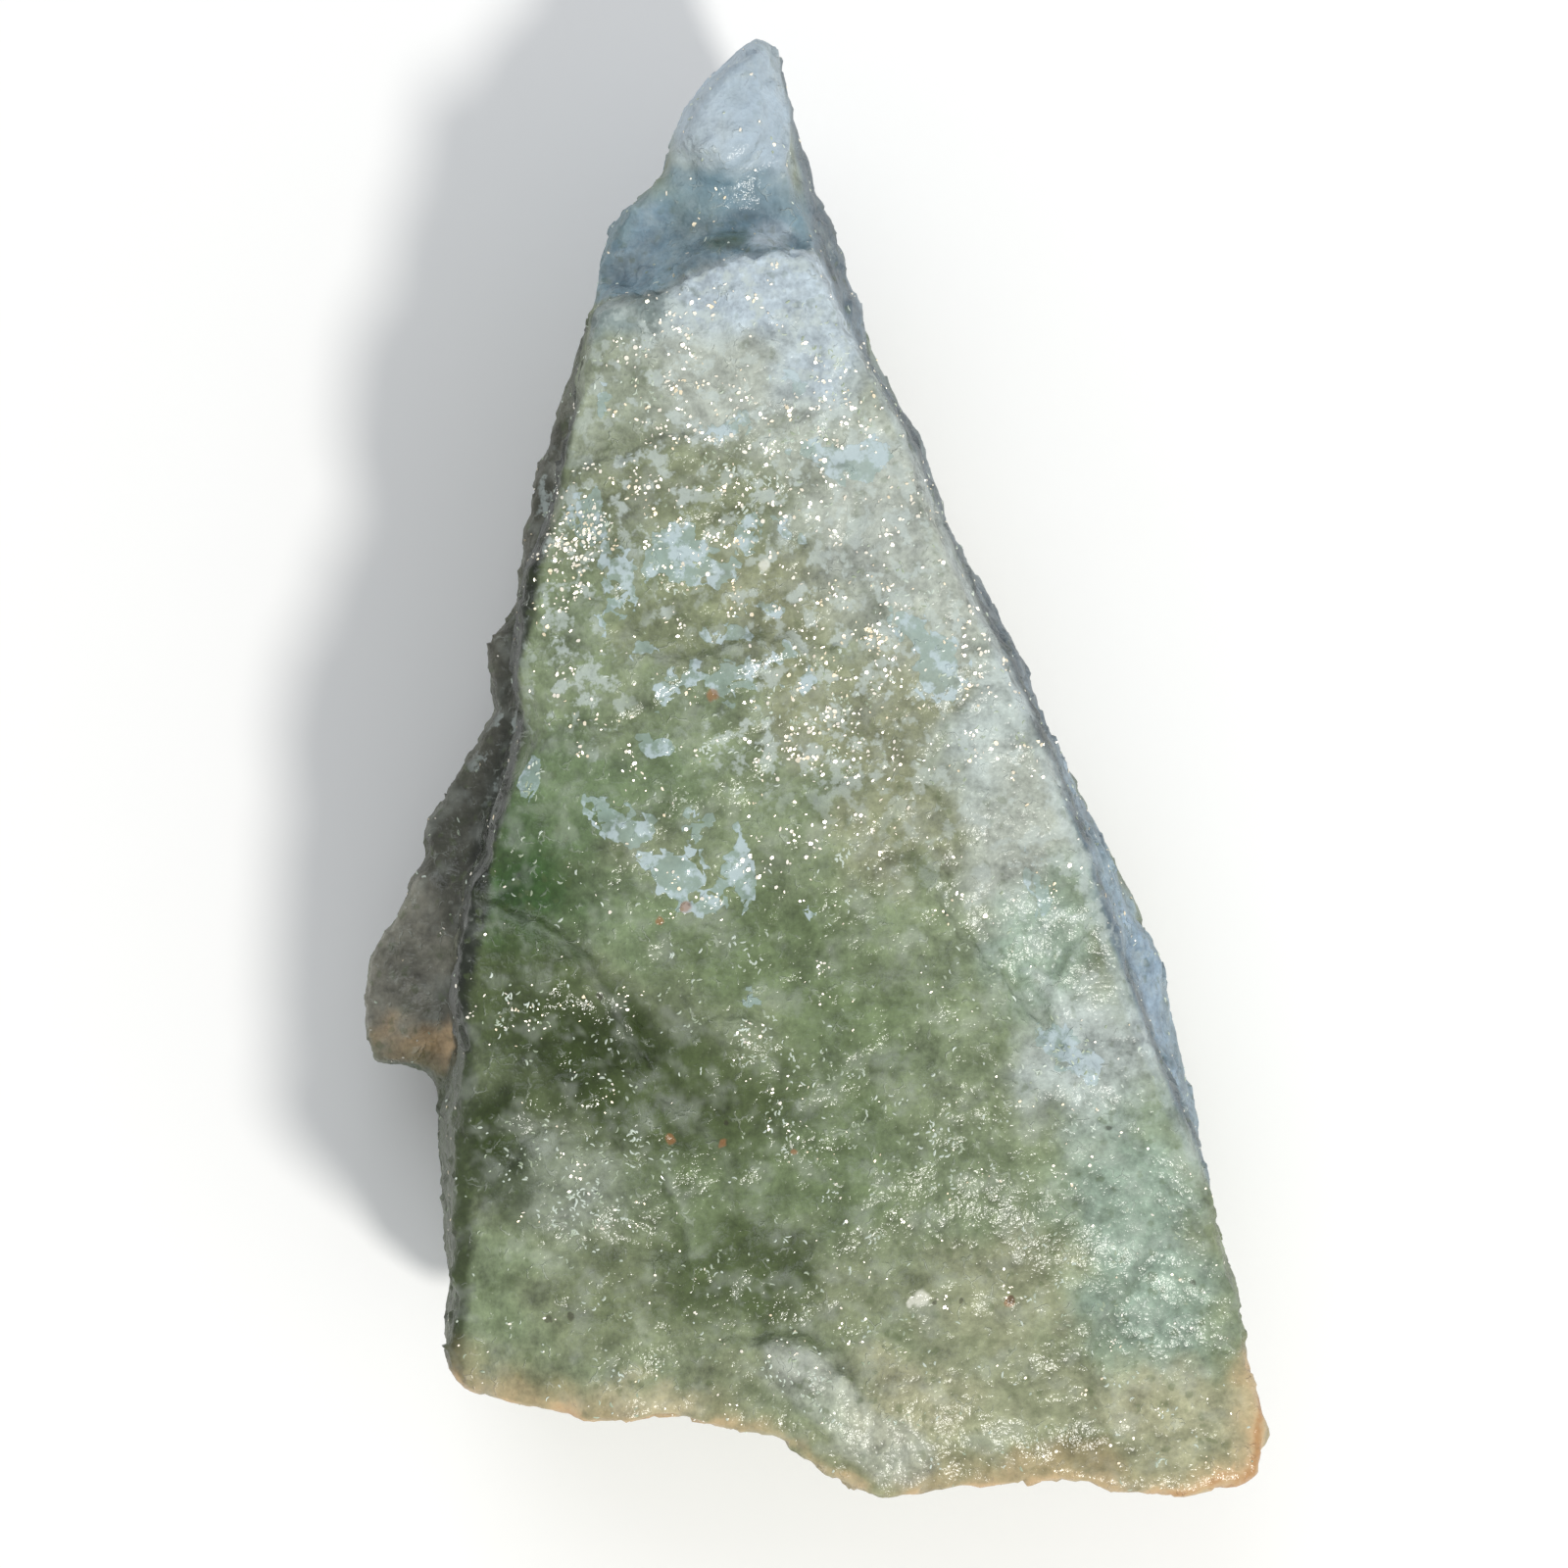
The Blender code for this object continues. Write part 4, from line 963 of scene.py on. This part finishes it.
class AVENTURINE_OT_skin(bpy.types.Operator):
    """Makes the stone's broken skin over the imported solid"""

    bl_idname = "aventurine.skin"
    bl_label = "Stone skin"

    def execute(self, context):
        noise.seed_set(NOISE_SEED)
        shape = context.scene.aventurine_shape
        colours = context.scene.aventurine_colours
        low, high = np.array(CAD_LOW) / MM, np.array(CAD_HIGH) / MM
        mesh = fine_copy(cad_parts[STONE_NODE], shape)
        points = points_of(mesh) / MM
        normals = broad_normals(mesh, 0)
        on_face = smooth_step(normals[:, 2], 0.35, 0.75)
        height = broken_relief(points, shape) * (1.0 - 0.55 * on_face) + face_relief(points) * on_face
        height *= smooth_step(points[:, 2], 0.0, 1.5)
        points = fitted(drawn(points + normals * height[:, None]), low, high)
        mesh.vertices.foreach_set("co", (points * MM).astype(np.float32).ravel())
        skin = link(bpy.data.objects.new("aventurine_skin", mesh))
        triangles = sum(len(face.vertices) - 2 for face in mesh.polygons)
        thin = skin.modifiers.new("thin_out", "DECIMATE")
        thin.ratio = min(1.0, shape.most_triangles / triangles)
        final = bpy.data.meshes.new_from_object(skin.evaluated_get(context.evaluated_depsgraph_get()))
        skin.modifiers.clear()
        skin.data = final
        kept_in_box(final)
        final.shade_smooth()
        tint, marks = tint_of(points_of(final) / MM, broad_normals(final), colours)
        carry(final, "tint", tint)
        carry(final, "marks", marks)
        dress(skin, quartz(colours))
        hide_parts(STONE_NODE)
        return {"FINISHED"}


def kept_in_box(mesh):
    """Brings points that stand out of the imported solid's box back to its sides."""
    for vert in mesh.vertices:
        vert.co = Vector(max(a, min(b, c)) for a, b, c in zip(CAD_LOW, CAD_HIGH, vert.co))


def scattered(skin, dice, clusters, share, nest_reach, loose):
    """Spots on the skin with its direction there: in small nests inside the clusters first, and then loose."""
    for x, y, spread, count in clusters:
        for index in range(count):
            if index == 0 or dice.random() < NEW_NEST:
                nest = (dice.gauss(x, spread * share), dice.gauss(y, spread * share))
            above = Vector((dice.gauss(nest[0], nest_reach), dice.gauss(nest[1], nest_reach), DROP_HEIGHT)) * MM
            hit, spot, facing, _face = skin.ray_cast(above, Vector((0, 0, -1)))
            if hit:
                yield spot, facing, True
    faces = skin.data.polygons
    for _ in range(loose):
        face = faces[dice.randrange(len(faces))]
        if face.center.z > LOOSE_ABOVE * MM:
            yield face.center, face.normal, False


def set_on_stone(name, made, material):
    """Makes a finished piece of many small bodies."""
    mesh = bpy.data.meshes.new(name)
    made.to_mesh(mesh)
    made.free()
    kept_in_box(mesh)
    dress(link(bpy.data.objects.new(name, mesh)), material)


def spangle(flakes, middle, facing, width, thickness, dice):
    """Adds one closed mica plate with five to seven corners."""
    corners = dice.randint(5, 7)
    stretch = dice.uniform(0.3, 1.0)
    turn = facing.to_track_quat("Z", "Y") @ Euler((0, 0, dice.uniform(0, math.tau))).to_quaternion()
    rings = [[], []]
    for corner in range(corners):
        angle = math.tau * (corner + dice.uniform(-0.25, 0.25)) / corners
        flat = Vector((math.cos(angle), math.sin(angle) * stretch, 0.0)) * width / 2
        for ring, side in zip(rings, (0.5, -0.5)):
            ring.append(flakes.verts.new(middle + turn @ (flat + Vector((0, 0, side * thickness)))))
    flakes.faces.new(rings[0])
    flakes.faces.new(reversed(rings[1]))
    for corner in range(corners):
        after = (corner + 1) % corners
        flakes.faces.new((rings[1][corner], rings[1][after], rings[0][after], rings[0][corner]))


class AVENTURINE_OT_mica(bpy.types.Operator):
    """Sets small mica plates into the skin, thick in clusters and sparse elsewhere"""

    bl_idname = "aventurine.mica"
    bl_label = "Mica spangles"

    def execute(self, context):
        mica = context.scene.aventurine_mica
        skin = bpy.data.objects["aventurine_skin"]
        dice = random.Random(MICA_SEED)
        flakes = bmesh.new()
        for spot, facing, clustered in scattered(skin, dice, MICA_CLUSTERS, 0.75, 0.32, mica.loose_count):
            steady = 0.8 if clustered or facing.z > 0.6 else 0.0
            width = mica.smallest + (mica.largest - mica.smallest) * dice.random() ** 2
            if spot.y < MICA_FADE * MM:
                width *= 0.75
            jitter = Vector((dice.gauss(0, 1), dice.gauss(0, 1), dice.gauss(0, 1)))
            lie = (facing.lerp(MICA_LIE, steady) + jitter * 0.16).normalized()
            spangle(flakes, spot + facing * mica.thickness * 0.6, lie, width, mica.thickness, dice)
        set_on_stone("mica_spangles", flakes, mica_finish(mica.colour))
        return {"FINISHED"}


def sliver(glass, middle, facing, length, width, bend, turn, stations=5):
    """Adds one closed sliver of glass: a bent ridge that tapers to a point at both ends."""
    lie = facing.to_track_quat("Z", "Y") @ Euler((0, 0, turn)).to_quaternion()
    rings = []
    for station in range(stations):
        share = station / (stations - 1) - 0.5
        half = width / 2 * math.sqrt(max(0.0, 1.0 - (2 * share) ** 2))
        angle = bend * share
        away = length * (math.sin(angle) / bend)
        aside = length * ((1.0 - math.cos(angle)) / bend)
        across = Vector((-math.sin(angle), math.cos(angle), 0.0))
        spine = Vector((away, aside, 0.0))
        corners = [spine + across * half, spine + Vector((0, 0, half * 1.2)), spine - across * half]
        if half == 0.0:
            corners = [spine]
        rings.append([glass.verts.new(middle + lie @ corner) for corner in corners])
    for ring, after in zip(rings, rings[1:]):
        for corner in range(3):
            beside = (corner + 1) % 3
            if len(ring) == 1:
                glass.faces.new((ring[0], after[beside], after[corner]))
            elif len(after) == 1:
                glass.faces.new((ring[corner], ring[beside], after[0]))
            else:
                glass.faces.new((ring[corner], ring[beside], after[beside], after[corner]))


def glass_edge():
    """Clear white quartz on the broken edges of grains."""
    recipe = Recipe("glass_edge")
    tinge = recipe.cloud(recipe.place(), 1.8, 2.0).eased(0.4, 0.6)
    return recipe.finished(
        {
            "Base Color": recipe.mix(tinge, tone(214, 224, 214), tone(172, 184, 160)),
            "Roughness": 0.16 + tinge * 0.12,
            "IOR": QUARTZ_IOR,
        }
    )


class AVENTURINE_OT_slivers(bpy.types.Operator):
    """Lays short curls of clear glass over the skin, where broken grains catch the light"""

    bl_idname = "aventurine.slivers"
    bl_label = "Glass slivers"

    def execute(self, context):
        mica = context.scene.aventurine_mica
        skin = bpy.data.objects["aventurine_skin"]
        dice = random.Random(SLIVER_SEED)
        glass = bmesh.new()
        for spot, facing, _clustered in scattered(skin, dice, SLIVER_CLUSTERS, 0.65, 0.4, mica.loose_slivers):
            length = dice.uniform(0.3, 1.0) * mica.sliver_length
            width = dice.uniform(0.5, 1.0) * mica.sliver_width
            bend = dice.choice((-1, 1)) * dice.uniform(0.4, 2.8)
            sliver(glass, spot, facing, length, width, bend, dice.uniform(0, math.tau))
        bmesh.ops.recalc_face_normals(glass, faces=glass.faces)
        set_on_stone("quartz_slivers", glass, glass_edge())
        return {"FINISHED"}


def area_light(name, aim, distance, width, power, colour):
    lamp = bpy.data.lights.new(name, "AREA")
    lamp.shape = "DISK"
    lamp.size, lamp.energy, lamp.color = width, power, colour
    stand = link(bpy.data.objects.new(name, lamp))
    stand.location = Vector(aim).normalized() * distance
    stand.rotation_euler = (-stand.location).to_track_quat("-Z", "Y").to_euler()
    stand.visible_camera = False


def pale_floor(colour):
    """A pale matt floor with the faintest dust."""
    recipe = Recipe("pale_floor")
    dust = recipe.cloud(recipe.place(), 9.0, 3.0)
    return recipe.finished(
        {"Base Color": recipe.mix(dust * 0.03, tuple(colour), tone(214, 214, 214)), "Roughness": 0.8}
    )


class AVENTURINE_OT_stage(bpy.types.Operator):
    """Sets the floor, the lights and the camera"""

    bl_idname = "aventurine.stage"
    bl_label = "Floor, lights and camera"

    def execute(self, context):
        stage = context.scene.aventurine_stage
        bpy.ops.mesh.primitive_circle_add(vertices=96, radius=6.0, fill_type="NGON", location=(0, 0, -0.05 * MM))
        floor = context.object
        floor.name = "floor"
        floor.data.materials.append(pale_floor(stage.floor))

        area_light("key", KEY_AIM, 1.1, 0.17, stage.key_power, (1.0, 0.975, 0.92))
        area_light("fill", (-0.25, 0.65, 0.9), 1.3, 0.9, stage.fill_power, (0.9, 0.95, 1.0))
        world = bpy.data.worlds.new("room")
        world.use_nodes = True
        room = world.node_tree.nodes["Background"].inputs
        room["Color"].default_value = (0.97, 0.985, 1.0, 1.0)
        room["Strength"].default_value = stage.room_light
        context.scene.world = world
        context.scene.view_settings.view_transform = "Standard"

        lens = bpy.data.cameras.new("camera")
        camera = link(bpy.data.objects.new("camera", lens))
        width = PICTURE / POINTS_PER_MM * MM
        lens.sensor_width = SENSOR
        lens.lens = SENSOR * (stage.camera_height - FACE_LEVEL * MM) / width
        camera.location = (CAMERA_X * MM, CAMERA_Y * MM, stage.camera_height)
        context.scene.camera = camera
        return {"FINISHED"}


class AVENTURINE_PT_panel(bpy.types.Panel):
    """Lists the stone's pieces and their sizes and colours"""

    bl_idname = "AVENTURINE_PT_panel"
    bl_label = "Aventurine"
    bl_space_type = "VIEW_3D"
    bl_region_type = "UI"
    bl_category = "Aventurine"

    def draw(self, context):
        column = self.layout.column()
        for operator in OPERATORS:
            column.operator(operator.bl_idname)
        for place, group in GROUPS.items():
            box = column.box()
            for name in group.__annotations__:
                box.prop(getattr(context.scene, place), name)


GROUPS = {
    "aventurine_shape": AventurineShape,
    "aventurine_mica": AventurineMica,
    "aventurine_colours": AventurineColours,
    "aventurine_stage": AventurineStage,
}
OPERATORS = (AVENTURINE_OT_skin, AVENTURINE_OT_mica, AVENTURINE_OT_slivers, AVENTURINE_OT_stage)


def register():
    for made in (*GROUPS.values(), *OPERATORS, AVENTURINE_PT_panel):
        bpy.utils.register_class(made)
    for place, group in GROUPS.items():
        setattr(bpy.types.Scene, place, PointerProperty(type=group))


def unregister():
    for place in GROUPS:
        delattr(bpy.types.Scene, place)
    for made in (AVENTURINE_PT_panel, *reversed(OPERATORS), *GROUPS.values()):
        bpy.utils.unregister_class(made)


def main():
    register()
    bpy.ops.aventurine.skin()
    bpy.ops.aventurine.mica()
    bpy.ops.aventurine.slivers()
    bpy.ops.aventurine.stage()


if __name__ == "__main__":
    main()
